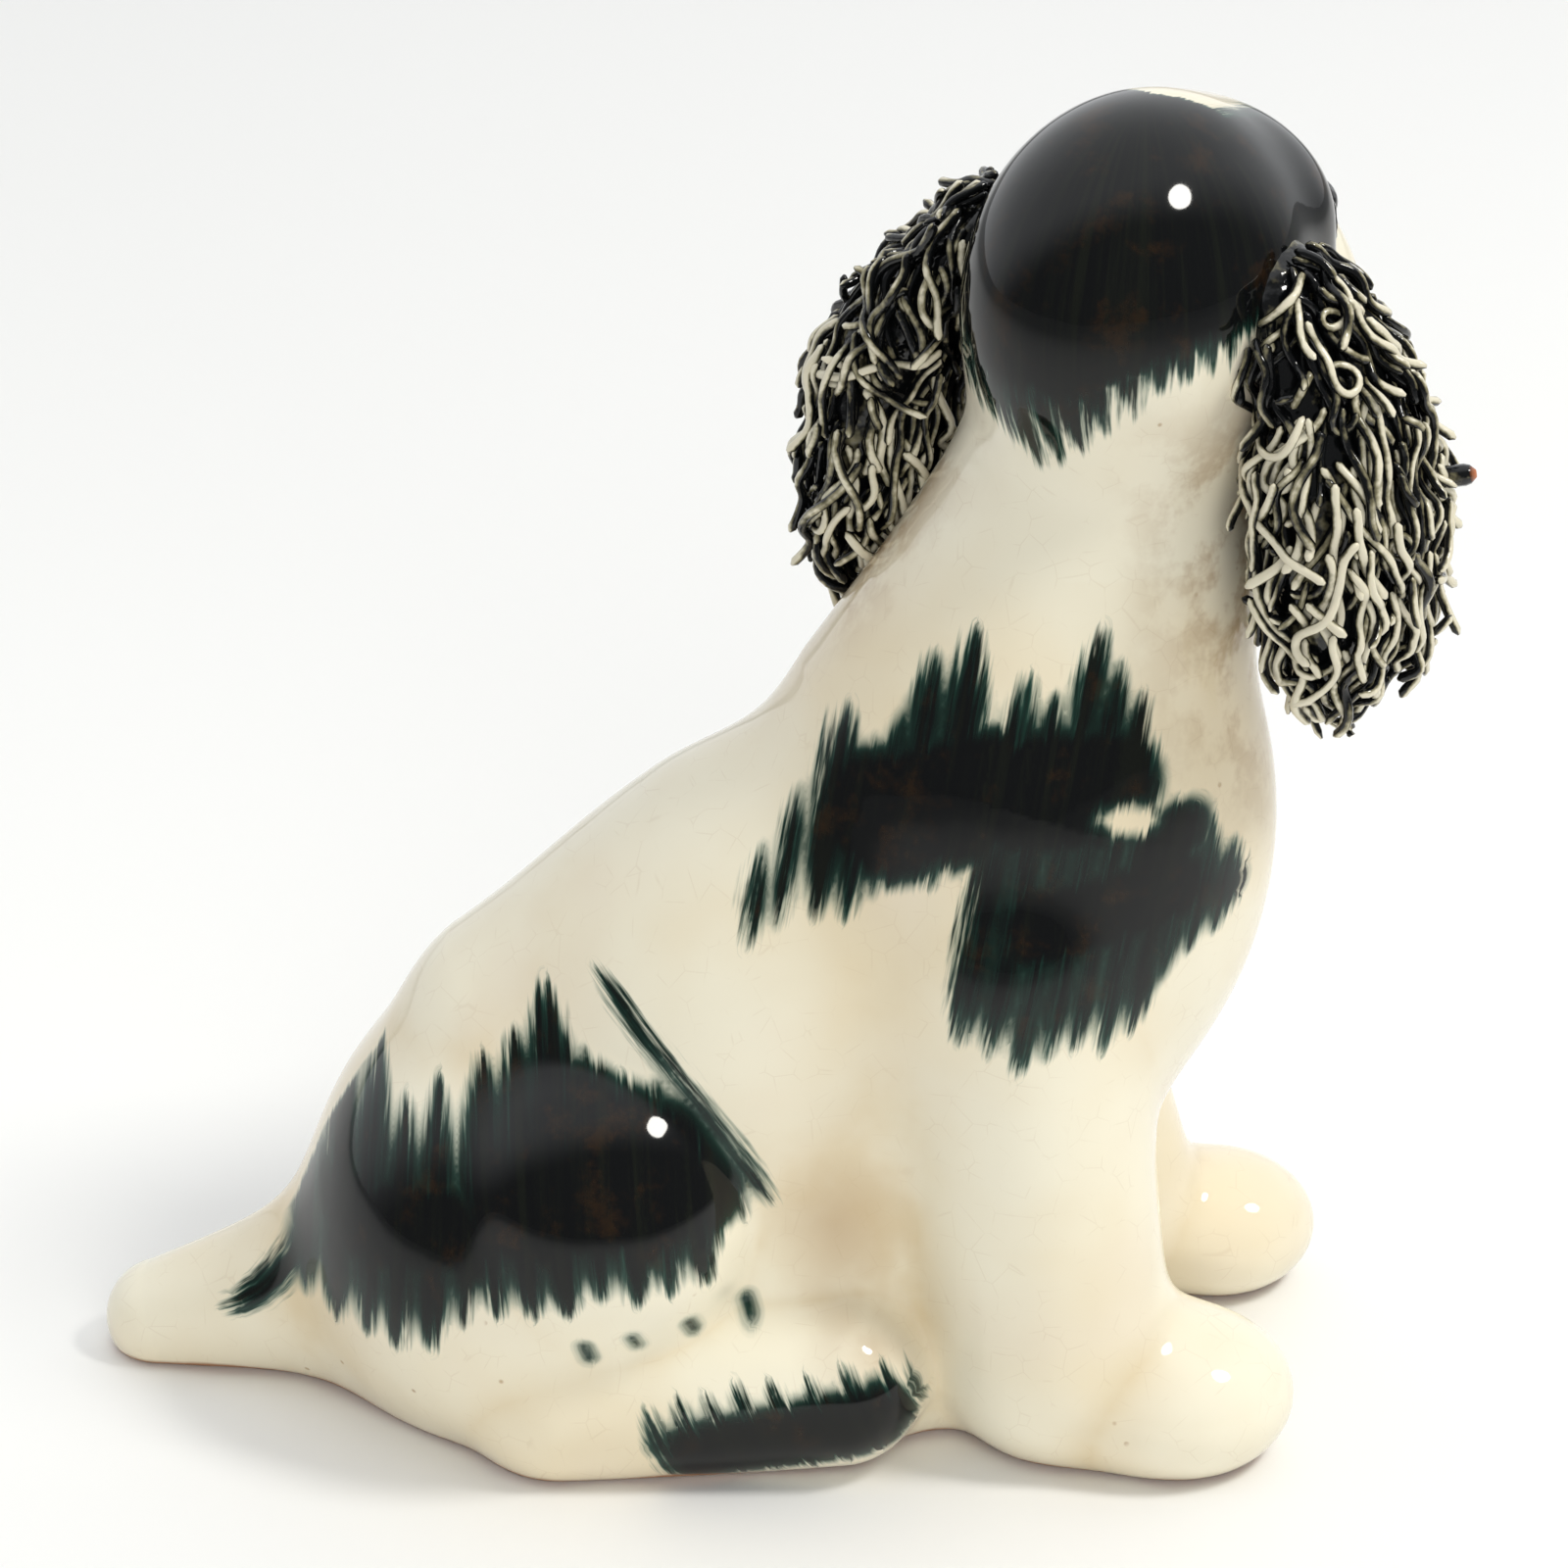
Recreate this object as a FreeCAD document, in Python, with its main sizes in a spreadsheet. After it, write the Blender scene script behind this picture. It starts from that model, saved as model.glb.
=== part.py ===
import FreeCAD, Part
import math
import os
import random
import Sketcher
from FreeCAD import Placement, Rotation, Vector

# A seated spaniel figurine in glazed earthenware, in millimetres.
# +Z is up, the dog looks along -Y with its head turned to its own left (+X),
# and the origin is the middle of the sole on the ground.

doc = FreeCAD.newDocument("ceramic_dog")
sheet = doc.addObject("Spreadsheet::Sheet", "Sizes")

# ---------------------------------------------------------------- driving dimensions

SIZES = {
    # clay and fittings
    "wall_thickness": 4.0,
    "sole_thickness": 4.0,
    "vent_radius": 4.0,
    "air_hole_radius": 2.5,
    # head, seen from above it is turned away from the way the body faces
    "head_x": 0.5,
    "head_y": -36.5,
    "head_z": 126.8,
    "head_turn": -30.0,
    "head_long": 22.0,
    "head_wide": 17.0,
    "head_tall": 19.5,
    "nape_long": 16.0,
    "nape_wide": 15.5,
    "nape_tall": 15.0,
    "nape_drop": 8.0,
    "brow_long": 10.0,
    "brow_wide": 14.5,
    "brow_tall": 11.5,
    "brow_reach": 13.5,
    "brow_lift": 3.5,
    # muzzle, nose and eyes
    "muzzle_root_radius": 11.0,
    "muzzle_tip_radius": 8.5,
    "muzzle_root_reach": 14.0,
    "muzzle_root_drop": 5.0,
    "muzzle_tip_reach": 31.0,
    "muzzle_tip_drop": 7.5,
    "nose_reach": 38.2,
    "nose_drop": 3.4,
    "nose_thick": 3.2,
    "nose_wide": 4.6,
    "nose_tall": 3.2,
    "eye_radius": 2.7,
    "eye_reach": 21.2,
    "eye_spread": 8.6,
    "eye_lift": 1.8,
    # ears: a clay pad with extruded strands laid over it
    "ear_long": 12.4,
    "ear_thick": 6.9,
    "ear_tall": 18.4,
    "ear_root_long": 9.4,
    "ear_root_thick": 4.6,
    "ear_root_tall": 14.4,
    "strand_radius": 0.75,
    "strand_pitch": 1.75,
    "strand_clearance": 0.05,
    # forelegs
    "right_leg_top_radius": 13.0,
    "right_leg_low_radius": 12.5,
    "left_leg_top_radius": 12.0,
    "left_leg_low_radius": 11.0,
    "right_paw_long": 13.0,
    "right_paw_wide": 12.0,
    "left_paw_long": 12.0,
    "left_paw_wide": 11.0,
    "paw_tall": 9.0,
    # haunches and hind feet
    "haunch_long": 20.0,
    "haunch_thick": 14.0,
    "haunch_tall": 21.0,
    "haunch_lean": 10.0,
    "hind_heel_radius": 10.0,
    "hind_toe_radius": 9.0,
    # tail
    "tail_root_radius": 11.0,
    "tail_tip_radius": 6.4,
}

# Level sections of the body: name, height, front, rear, half width
TORSO_SECTIONS = (
    ("sole", 0.0, -28.0, 46.0, 20.0),
    ("hock", 12.0, -34.5, 52.0, 25.5),
    ("rump", 28.0, -39.0, 51.5, 26.5),
    ("belly", 45.0, -47.0, 39.0, 25.0),
    ("chest", 60.0, -52.0, 23.5, 24.0),
    ("shoulder", 75.0, -51.5, 7.5, 23.0),
    ("withers", 90.0, -46.5, -1.5, 20.0),
    ("neck", 102.0, -46.2, -9.0, 17.0),
    ("throat", 110.0, -48.0, -14.8, 15.6),
    ("collar", 118.0, -50.0, -21.5, 13.5),
)


def fill_sheet():
    """Write every driving dimension to the sheet, with its alias."""
    cells = dict(SIZES)
    for name, height, front, rear, half_width in TORSO_SECTIONS:
        cells[name + "_height"] = height
        cells[name + "_front"] = front
        cells[name + "_rear"] = rear
        cells[name + "_half_width"] = half_width
    for row, (alias, value) in enumerate(cells.items(), start=1):
        sheet.set("A%d" % row, alias)
        sheet.set("B%d" % row, str(value))
        sheet.setAlias("B%d" % row, alias)
    doc.recompute()


fill_sheet()


def size(alias):
    return float(sheet.get(alias))


# ---------------------------------------------------------------- general helpers

GROUND_DEPTH = 30.0
ground = doc.addObject("Part::Box", "Ground")
ground.Length = 400.0
ground.Width = 400.0
ground.Height = GROUND_DEPTH
ground.Placement = Placement(Vector(-200, -200, -GROUND_DEPTH), Rotation())


def bind(item, **links):
    """Bind properties of an object to cells, or to sums of cells."""
    for prop, text in links.items():
        item.setExpression(prop, text)


def ellipsoid(name, place, long_cell, wide_cell, tall_cell, trim="0"):
    """An ellipsoid, long along local X, wide along Y and tall along Z."""
    item = doc.addObject("Part::Ellipsoid", name)
    bind(
        item,
        Radius1="Sizes.%s - %s" % (tall_cell, trim),
        Radius2="Sizes.%s - %s" % (long_cell, trim),
        Radius3="Sizes.%s - %s" % (wide_cell, trim),
    )
    item.Placement = place
    return item


def ball(name, centre, radius_cell):
    item = doc.addObject("Part::Sphere", name)
    bind(item, Radius="Sizes." + radius_cell)
    item.Placement = Placement(centre, Rotation())
    return item


def fuse(name, items):
    item = doc.addObject("Part::MultiFuse", name)
    item.Shapes = items
    return item


def cut(name, base, tool):
    item = doc.addObject("Part::Cut", name)
    item.Base = base
    item.Tool = tool
    return item


def trim_away(name, base, tools):
    """Cut one piece back to where its neighbours start."""
    for number, tool in enumerate(tools, start=1):
        last = number == len(tools)
        base = cut(name if last else "%s_trim_%d" % (name, number), base, tool)
    return base


def rounded_taper(name, start, end, start_cell, end_cell):
    """A tapering roll of clay with a ball at each end."""
    axis = end - start
    taper = doc.addObject("Part::Cone", name + "_roll")
    bind(taper, Radius1="Sizes." + start_cell, Radius2="Sizes." + end_cell)
    taper.Height = axis.Length
    taper.Placement = Placement(start, Rotation(Vector(0, 0, 1), axis))
    first = ball(name + "_first_ball", start, start_cell)
    second = ball(name + "_second_ball", end, end_cell)
    return fuse(name, [taper, first, second])


# ---------------------------------------------------------------- torso

def origin_plane(body, role):
    return next(item for item in body.Origin.OriginFeatures if item.Role == role)


def section_sketch(body, name, inset):
    """One level oval of the body, long from front to rear."""
    half_length = (size(name + "_rear") - size(name + "_front")) / 2 - inset
    half_width = size(name + "_half_width") - inset
    sketch = body.newObject("Sketcher::SketchObject", "%s_%s" % (body.Name, name))
    sketch.AttachmentSupport = [(origin_plane(body, "XY_Plane"), "")]
    sketch.MapMode = "FlatFace"
    sketch.addGeometry(
        Part.Ellipse(Vector(0, half_length, 0), Vector(half_width, 0, 0), Vector(0, 0, 0))
    )
    sketch.exposeInternalGeometry(0)
    sketch.addConstraint(Sketcher.Constraint("Coincident", 0, 3, -1, 1))
    sketch.addConstraint(Sketcher.Constraint("Vertical", 1))
    length = sketch.addConstraint(Sketcher.Constraint("Distance", 1, 2 * half_length))
    width = sketch.addConstraint(Sketcher.Constraint("Distance", 2, 2 * half_width))
    sketch.renameConstraint(length, "length")
    sketch.renameConstraint(width, "width")
    wall = "Sizes.wall_thickness" if inset else "0"
    span = "Sizes.{0}_rear - Sizes.{0}_front".format(name)
    middle = "(Sizes.{0}_rear + Sizes.{0}_front) / 2".format(name)
    sketch.setExpression("Constraints.length", "%s - 2 * %s" % (span, wall))
    sketch.setExpression("Constraints.width", "2 * (Sizes.%s_half_width - %s)" % (name, wall))
    sketch.setExpression("AttachmentOffset.Base.y", middle)
    sketch.setExpression("AttachmentOffset.Base.z", "Sizes.%s_height" % name)
    return sketch


def torso_form(name, inset):
    """A smooth loft through all the level ovals, inset for the hollow."""
    body = doc.addObject("PartDesign::Body", name)
    sketches = [section_sketch(body, row[0], inset) for row in TORSO_SECTIONS]
    loft = body.newObject("PartDesign::AdditiveLoft", name + "_loft")
    loft.Profile = sketches[0]
    loft.Sections = sketches[1:]
    return body


torso_outer = torso_form("torso_outer", 0.0)
torso_hollow = torso_form("torso_hollow", size("wall_thickness"))

# ---------------------------------------------------------------- head

head_centre = Vector(size("head_x"), size("head_y"), size("head_z"))
head_turn = Rotation(size("head_turn"), 0, 0)


def head_place(reach, left, lift, lean=0.0):
    """A place in the head's own frame: reach towards the nose, left, up."""
    offset = head_turn.multVec(Vector(reach, left, lift))
    return Placement(head_centre + offset, Rotation(size("head_turn"), 0, lean))


skull = ellipsoid("skull", head_place(0, 0, 0), "head_long", "head_wide", "head_tall")
nape_place = head_place(-1.4, 0.4, -size("nape_drop"))
nape = ellipsoid("nape", nape_place, "nape_long", "nape_wide", "nape_tall")
brow_place = head_place(size("brow_reach"), 0, size("brow_lift"))
brow = ellipsoid("brow", brow_place, "brow_long", "brow_wide", "brow_tall")
head_outer = fuse("head_outer", [skull, nape, brow])
head_hollow = ellipsoid(
    "head_hollow", head_place(0, 0, 0), "head_long", "head_wide", "head_tall",
    trim="Sizes.wall_thickness",
)

# the air hole lets the head breathe into the neck while it is fired
air_hole = doc.addObject("Part::Cylinder", "air_hole")
bind(air_hole, Radius="Sizes.air_hole_radius")
air_hole.Height = 30.0
air_hole.Placement = Placement(nape_place.Base - Vector(0, 0, 22), Rotation())

head_shell = trim_away("head_shell", head_outer, [head_hollow, air_hole])

# ---------------------------------------------------------------- torso shell and sole

torso_shell = trim_away("torso_shell", torso_outer, [torso_hollow, head_outer])

sole_block = doc.addObject("Part::Box", "sole_block")
sole_block.Length = 100.0
sole_block.Width = 120.0
bind(sole_block, Height="Sizes.sole_thickness")
sole_block.Placement = Placement(Vector(-50, -50, 0), Rotation())
sole_blank = doc.addObject("Part::Common", "sole_blank")
sole_blank.Base = torso_hollow
sole_blank.Tool = sole_block
vent = doc.addObject("Part::Cylinder", "vent")
bind(vent, Radius="Sizes.vent_radius", Height="Sizes.sole_thickness")
vent.Placement = Placement(Vector(0, 22, 0), Rotation())
sole_plate = cut("sole_plate", sole_blank, vent)

# ---------------------------------------------------------------- muzzle, nose, eyes

muzzle_blank = rounded_taper(
    "muzzle_blank",
    head_place(size("muzzle_root_reach"), 0, -size("muzzle_root_drop")).Base,
    head_place(size("muzzle_tip_reach"), 0, -size("muzzle_tip_drop")).Base,
    "muzzle_root_radius",
    "muzzle_tip_radius",
)
muzzle = cut("muzzle", muzzle_blank, head_outer)
nose_place = head_place(size("nose_reach"), 0, -size("nose_drop"))
nose_blank = ellipsoid("nose_blank", nose_place, "nose_thick", "nose_wide", "nose_tall")
nose = cut("nose", nose_blank, muzzle_blank)


def eye(name, side):
    """A small bead pressed into the face; side is +1 for the dog's left."""
    centre = head_place(size("eye_reach"), side * size("eye_spread"), size("eye_lift")).Base
    bead = ball(name + "_bead", centre, "eye_radius")
    return trim_away(name, bead, [head_outer, muzzle_blank])


right_eye = eye("right_eye", -1)
left_eye = eye("left_eye", 1)

# ---------------------------------------------------------------- forelegs


def foreleg(name, top, ankle, paw, side):
    """A rolled leg with its rounded paw, cut flat on the ground."""
    leg = rounded_taper(
        name + "_leg", top, ankle, side + "_leg_top_radius", side + "_leg_low_radius"
    )
    foot = ellipsoid(
        name + "_paw", Placement(paw, Rotation()),
        side + "_paw_wide", side + "_paw_long", "paw_tall",
    )
    blank = fuse(name + "_blank", [leg, foot])
    return blank, trim_away(name, blank, [torso_outer, ground])


right_leg_blank, right_foreleg = foreleg(
    "right_foreleg", Vector(-13, -24, 56), Vector(-16, -29.5, 10), Vector(-18.5, -42, 6.5), "right"
)
left_leg_blank, left_foreleg = foreleg(
    "left_foreleg", Vector(13, -24, 50), Vector(18, -36, 10), Vector(19.5, -49, 7), "left"
)

# ---------------------------------------------------------------- haunches and hind feet


def haunch(name, centre):
    place = Placement(centre, Rotation(0, 0, size("haunch_lean")))
    blank = ellipsoid(name + "_blank", place, "haunch_thick", "haunch_long", "haunch_tall")
    return blank, trim_away(name, blank, [torso_outer, ground])


def hind_foot(name, heel, toe, haunch_blank):
    blank = rounded_taper(name + "_blank", heel, toe, "hind_heel_radius", "hind_toe_radius")
    return trim_away(name, blank, [torso_outer, haunch_blank, ground])


right_haunch_blank, right_haunch = haunch("right_haunch", Vector(-17, 18, 33))
left_haunch_blank, left_haunch = haunch("left_haunch", Vector(16, 20, 28))
right_hind_foot = hind_foot(
    "right_hind_foot", Vector(-20, 24, 7), Vector(-21, -6, 9), right_haunch_blank
)
left_hind_foot = hind_foot(
    "left_hind_foot", Vector(19, 22, 7), Vector(21, -6, 8), left_haunch_blank
)

# ---------------------------------------------------------------- tail

tail_blank = rounded_taper(
    "tail_blank", Vector(0, 44, 11), Vector(3, 69, 3.5), "tail_root_radius", "tail_tip_radius"
)
tail = trim_away("tail", tail_blank, [torso_outer, ground])

# ---------------------------------------------------------------- ear pads


def ear_pad(name, pad_place, root_place):
    """The flat drop of clay that carries the strands, luted to the head."""
    pad = ellipsoid(name + "_drop", pad_place, "ear_long", "ear_thick", "ear_tall")
    root = ellipsoid(
        name + "_root", root_place, "ear_root_long", "ear_root_thick", "ear_root_tall"
    )
    blank = fuse(name + "_blank", [pad, root])
    return trim_away(name, blank, [head_outer, torso_outer])


RIGHT_EAR = {"pad": head_place(1, -24, -23.8, -4), "root": head_place(1, -20, -6.8, -22)}
LEFT_EAR = {"pad": head_place(1, 29, -21.8, 4), "root": head_place(1, 22, -4.8, 32)}
right_ear_pad = ear_pad("right_ear_pad", RIGHT_EAR["pad"], RIGHT_EAR["root"])
left_ear_pad = ear_pad("left_ear_pad", LEFT_EAR["pad"], LEFT_EAR["root"])

doc.recompute()

# ---------------------------------------------------------------- ear strands

# Tiers of strands, from the top of the ear down.
# Each row is: name, the ear form it lies on, its top and its bottom as a
# share of that form's height (1 is the top of the form, -1 is its bottom).
TIERS = (
    ("crown_strands", "root", 0.86, 0.34),
    ("hanging_strands", "root", 0.28, -0.26),
    ("upper_strands", "pad", 0.64, 0.28),
    ("middle_strands", "pad", 0.23, -0.20),
    ("lower_strands", "pad", -0.26, -0.62),
    ("tip_strands", "pad", -0.68, -0.92),
)
FORM_CELLS = {
    "pad": ("ear_long", "ear_thick", "ear_tall"),
    "root": ("ear_root_long", "ear_root_thick", "ear_root_tall"),
}


def form_point(place, radii, turn, share, lift):
    """A point held off an ellipsoid: turn about its height axis, share of its height."""
    spread = math.sqrt(1 - share * share)
    unit = Vector(spread * math.cos(turn), spread * math.sin(turn), share)
    surface = Vector(radii[0] * unit.x, radii[1] * unit.y, radii[2] * unit.z)
    outward = Vector(unit.x / radii[0], unit.y / radii[1], unit.z / radii[2]).normalize()
    return place.multVec(surface + outward * lift)


def strand_path(place, radii, turn, top, bottom, sway):
    """A strand's middle line, swaying a little as it runs down the form."""
    lift = size("strand_radius") + size("strand_clearance")
    points = []
    for step in range(5):
        along = step / 4.0
        share = top + (bottom - top) * along
        swayed = turn + sway * math.sin(3.0 * along)
        points.append(form_point(place, radii, swayed, share, lift))
    curve = Part.BSplineCurve()
    curve.interpolate(points)
    return curve.toShape()


def strand_solid(path):
    """A round strand of extruded clay along its middle line."""
    start = path.valueAt(path.FirstParameter)
    heading = path.tangentAt(path.FirstParameter)
    ring = Part.Wire([Part.makeCircle(size("strand_radius"), start, heading)])
    pipe = Part.Wire([path]).makePipeShell([ring], True, True)
    return pipe


def strand_tier(form, place, top, bottom, neighbours, draw):
    """All the strands of one tier that clear the head, the body and the pad."""
    radii = [size(cell) for cell in FORM_CELLS[form]]
    narrow = math.sqrt(1 - min(0.98, max(abs(top), abs(bottom))) ** 2)
    girth = 2 * math.pi * math.sqrt((radii[0] ** 2 + radii[1] ** 2) / 2) * narrow
    count = int(girth / size("strand_pitch"))
    strands = []
    for number in range(count):
        turn = 2 * math.pi * (number + 0.5) / count
        sway = draw.uniform(-0.06, 0.06)
        start = top - 0.06 * draw.random() * (top - bottom)
        path = strand_path(place, radii, turn, start, bottom, sway)
        if path.distToShape(neighbours)[0] < size("strand_radius"):
            continue
        solid = strand_solid(path)
        if all(solid.distToShape(other)[0] > 0.02 for other in strands[-2:] + strands[:1]):
            strands.append(solid)
    return strands


def strand_tiers(side, ear, pad):
    """One node of strands for each tier of one ear."""
    neighbours = Part.makeCompound(
        [pad.Shape, head_outer.Shape, torso_outer.Shape, muzzle_blank.Shape]
    )
    tiers = []
    for index, (label, form, top, bottom) in enumerate(TIERS):
        draw = random.Random("%s %d" % (side, index))
        strands = strand_tier(form, ear[form], top, bottom, neighbours, draw)
        tier = doc.addObject("Part::Feature", "%s_ear_%s" % (side, label))
        tier.Shape = Part.makeCompound(strands)
        tier.Placement = Placement()
        tiers.append(tier)
    return tiers


right_strands = strand_tiers("right", RIGHT_EAR, right_ear_pad)
left_strands = strand_tiers("left", LEFT_EAR, left_ear_pad)

# ---------------------------------------------------------------- check and write

PARTS = [
    torso_shell, sole_plate, head_shell, muzzle, nose, right_eye, left_eye,
    right_foreleg, left_foreleg, right_haunch, left_haunch,
    right_hind_foot, left_hind_foot, tail, right_ear_pad, left_ear_pad,
] + right_strands + left_strands

doc.recompute()

for item in doc.Objects:
    if "Invalid" in item.State or "Error" in item.State:
        raise RuntimeError("%s did not rebuild: %s" % (item.Name, item.State))

for item in PARTS:
    item.Label = item.Name
    if item.Shape.isNull() or not item.Shape.isValid():
        raise RuntimeError("%s has no valid shape" % item.Label)

os.makedirs("parts", exist_ok=True)
for item in PARTS:
    item.Shape.exportStep("parts/%s.step" % item.Label)
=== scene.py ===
import math

import bpy
import numpy as np
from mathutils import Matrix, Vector


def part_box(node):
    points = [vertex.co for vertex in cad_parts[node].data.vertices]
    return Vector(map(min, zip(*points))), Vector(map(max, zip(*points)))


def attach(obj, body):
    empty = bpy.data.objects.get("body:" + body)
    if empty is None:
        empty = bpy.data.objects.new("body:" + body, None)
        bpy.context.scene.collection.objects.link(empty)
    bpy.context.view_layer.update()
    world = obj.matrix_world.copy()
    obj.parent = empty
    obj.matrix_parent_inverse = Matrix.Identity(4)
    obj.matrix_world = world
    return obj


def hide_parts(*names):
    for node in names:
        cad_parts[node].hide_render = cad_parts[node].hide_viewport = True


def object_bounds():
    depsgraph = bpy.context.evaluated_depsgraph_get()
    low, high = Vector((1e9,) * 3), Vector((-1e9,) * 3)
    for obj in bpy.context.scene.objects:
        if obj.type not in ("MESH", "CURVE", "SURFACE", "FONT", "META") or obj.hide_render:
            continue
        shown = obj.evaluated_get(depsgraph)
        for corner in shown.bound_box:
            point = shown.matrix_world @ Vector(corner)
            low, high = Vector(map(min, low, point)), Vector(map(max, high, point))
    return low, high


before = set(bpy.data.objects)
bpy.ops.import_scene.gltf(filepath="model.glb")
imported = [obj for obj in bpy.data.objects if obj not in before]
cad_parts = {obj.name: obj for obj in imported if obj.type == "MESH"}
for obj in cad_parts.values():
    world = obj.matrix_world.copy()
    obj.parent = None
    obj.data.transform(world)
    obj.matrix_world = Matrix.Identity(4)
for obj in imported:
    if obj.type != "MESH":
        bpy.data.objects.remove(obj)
cad_low, cad_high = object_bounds()

# Every form below is worked out in millimetres and turned to metres when its mesh is made.
METRE = 0.001
NET_STEP = 0.62  # cell size of the clay's surface net
HEAD_TURN = -30.0  # degrees from +X to the way the face looks, about +Z
HEAD_LONG = 22.0
HEAD_WIDE = 17.0
HEAD_TALL = 19.5


# ---------------------------------------------------------------- places from the CAD frame


def spot(node, share_x, share_y, share_z):
    """A point in a CAD node's box, by its share of each side."""
    low, high = (np.array(corner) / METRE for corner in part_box(node))
    return low + (high - low) * (share_x, share_y, share_z)


def turned_axes(turn=0.0, lean=0.0):
    """Axes of a form turned about +Z, then leaning about its own X axis, in degrees."""
    t, l = math.radians(turn), math.radians(lean)
    about_z = np.array(
        [[math.cos(t), -math.sin(t), 0], [math.sin(t), math.cos(t), 0], [0, 0, 1]]
    )
    about_x = np.array(
        [[1, 0, 0], [0, math.cos(l), -math.sin(l)], [0, math.sin(l), math.cos(l)]]
    )
    return about_z @ about_x


HEAD_AXES = turned_axes(HEAD_TURN)
FORWARD, LEFTWARD = HEAD_AXES[:, 0], HEAD_AXES[:, 1]


def head_middle():
    """The skull's middle, from the rear, left and top faces of the head's CAD box."""
    low, high = spot("head_shell", 0, 0, 0), spot("head_shell", 1, 1, 1)
    half_x = math.hypot(HEAD_LONG * FORWARD[0], HEAD_WIDE * LEFTWARD[0])
    half_y = math.hypot(HEAD_LONG * FORWARD[1], HEAD_WIDE * LEFTWARD[1])
    return np.array([low[0] + half_x, high[1] - half_y, high[2] - HEAD_TALL])


HEAD = head_middle()


def head_point(forward, left, up):
    return HEAD + FORWARD * forward + LEFTWARD * left + np.array([0, 0, up])


# ---------------------------------------------------------------- distance forms


def ellipsoid(centre, radii, turn=0.0, lean=0.0):
    axes = turned_axes(turn, lean)
    radii = np.array(radii, float)

    def distance(points):
        local = (points - centre) @ axes
        near = np.linalg.norm(local / radii, axis=-1)
        far = np.linalg.norm(local / radii**2, axis=-1)
        return near * (near - 1) / np.maximum(far, 1e-6)

    return distance


def roll(start, end, start_radius, end_radius):
    """A tapering roll of clay with round ends."""
    axis = end - start

    def distance(points):
        along = np.clip((points - start) @ axis / (axis @ axis), 0, 1)
        from_axis = np.linalg.norm(points - start - along[..., None] * axis, axis=-1)
        return from_axis - start_radius - (end_radius - start_radius) * along

    return distance


def blend(first, second, reach):
    """Two forms joined with a soft fillet."""
    overlap = np.maximum(reach - np.abs(first - second), 0) / reach
    return np.minimum(first, second) - overlap**3 * reach / 6


def carve(base, tool, reach):
    """A form with another taken out of it, its rim softened."""
    return -blend(-base, tool, reach)


# ---------------------------------------------------------------- the clay forms


def on_torso(share_x, share_y, share_z):
    return spot("torso_shell", share_x, share_y, share_z)


def limb_roll(node, start, end, start_radius, end_radius):
    """A roll between two places in a CAD node's box."""
    return roll(spot(node, *start), spot(node, *end), start_radius, end_radius)


def head_form(place, radii):
    """An ellipsoid turned with the head, its place given forward, left and up of the middle."""
    return ellipsoid(head_point(*place), radii, HEAD_TURN)


# Each form comes with the reach of its blend into the ones before it.
TRUNK = {
    "rump": (ellipsoid(on_torso(0.5, 0.75, 0.171), (29.5, 25, 28), lean=12), 0),
    "belly": (ellipsoid(on_torso(0.5, 0.551, 0.377), (22.5, 24, 39), lean=40), 10),
    "chest": (ellipsoid(on_torso(0.5, 0.26, 0.531), (23, 27, 36), lean=12), 14),
    "neck": (roll(on_torso(0.5, 0.28, 0.66), on_torso(0.519, 0.165, 0.959), 20, 14), 14),
    "throat": (ellipsoid(on_torso(0.5, 0.152, 0.822), (13.5, 13, 18)), 9),
    "back": (roll(on_torso(0.5, 0.551, 0.505), on_torso(0.5, 0.749, 0.351), 12.2, 14), 9),
    "brisket": (ellipsoid(on_torso(0.5, 0.316, 0.274), (18, 19, 36)), 12),
    "base": (ellipsoid(spot("sole_plate", 0.5, 0.5, 0.9), (22.5, 39.5, 9.5)), 8),
    "flank": (ellipsoid(on_torso(0.5, 0.514, 0.206), (21, 22, 26)), 12),
}

LIMBS = {
    "right_haunch": (
        ellipsoid(spot("right_haunch", 0.84, 0.474, 0.313), (17, 17, 18), lean=10), 3
    ),
    "left_haunch": (
        ellipsoid(spot("left_haunch", 0.16, 0.474, 0.313), (17, 17, 18), lean=10), 3
    ),
    "right_hind_foot": (
        limb_roll("right_hind_foot", (0.735, 0.796, 0.405), (0.662, 0.184, 0.521), 10, 9), 6
    ),
    "left_hind_foot": (
        limb_roll("left_hind_foot", (0.161, 0.787, 0.429), (0.314, 0.191, 0.491), 9.5, 8.5), 6
    ),
    "right_foreleg": (
        limb_roll("right_foreleg", (0.666, 0.816, 0.875), (0.552, 0.671, 0.156), 13, 12.5), 8
    ),
    "left_foreleg": (
        limb_roll("left_foreleg", (0.296, 0.871, 0.878), (0.497, 0.589, 0.176), 12, 11), 8
    ),
    "right_paw": (ellipsoid(spot("right_foreleg", 0.457, 0.342, 0.102), (12, 13, 9)), 8),
    "left_paw": (ellipsoid(spot("left_foreleg", 0.557, 0.29, 0.11), (10.5, 11.5, 8)), 6),
    "tail": (limb_roll("tail", (0.498, 0.005, 0.603), (0.639, 0.797, 0.192), 11, 6.4), 14),
}

SKULL = {
    "skull": (head_form((0, 0, 0), (HEAD_LONG, HEAD_WIDE, HEAD_TALL)), 0),
    "nape": (head_form((-1.4, 0.4, -8), (16, 15.5, 15)), 8),
    "brow": (head_form((13.5, 0, 3.5), (10, 14.5, 11.5)), 6),
    "right_cheek": (head_form((12, -9.5, -6.5), (9, 6.5, 8)), 6),
    "left_cheek": (head_form((12, 9.5, -6.5), (9, 6.5, 8)), 6),
}

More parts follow.
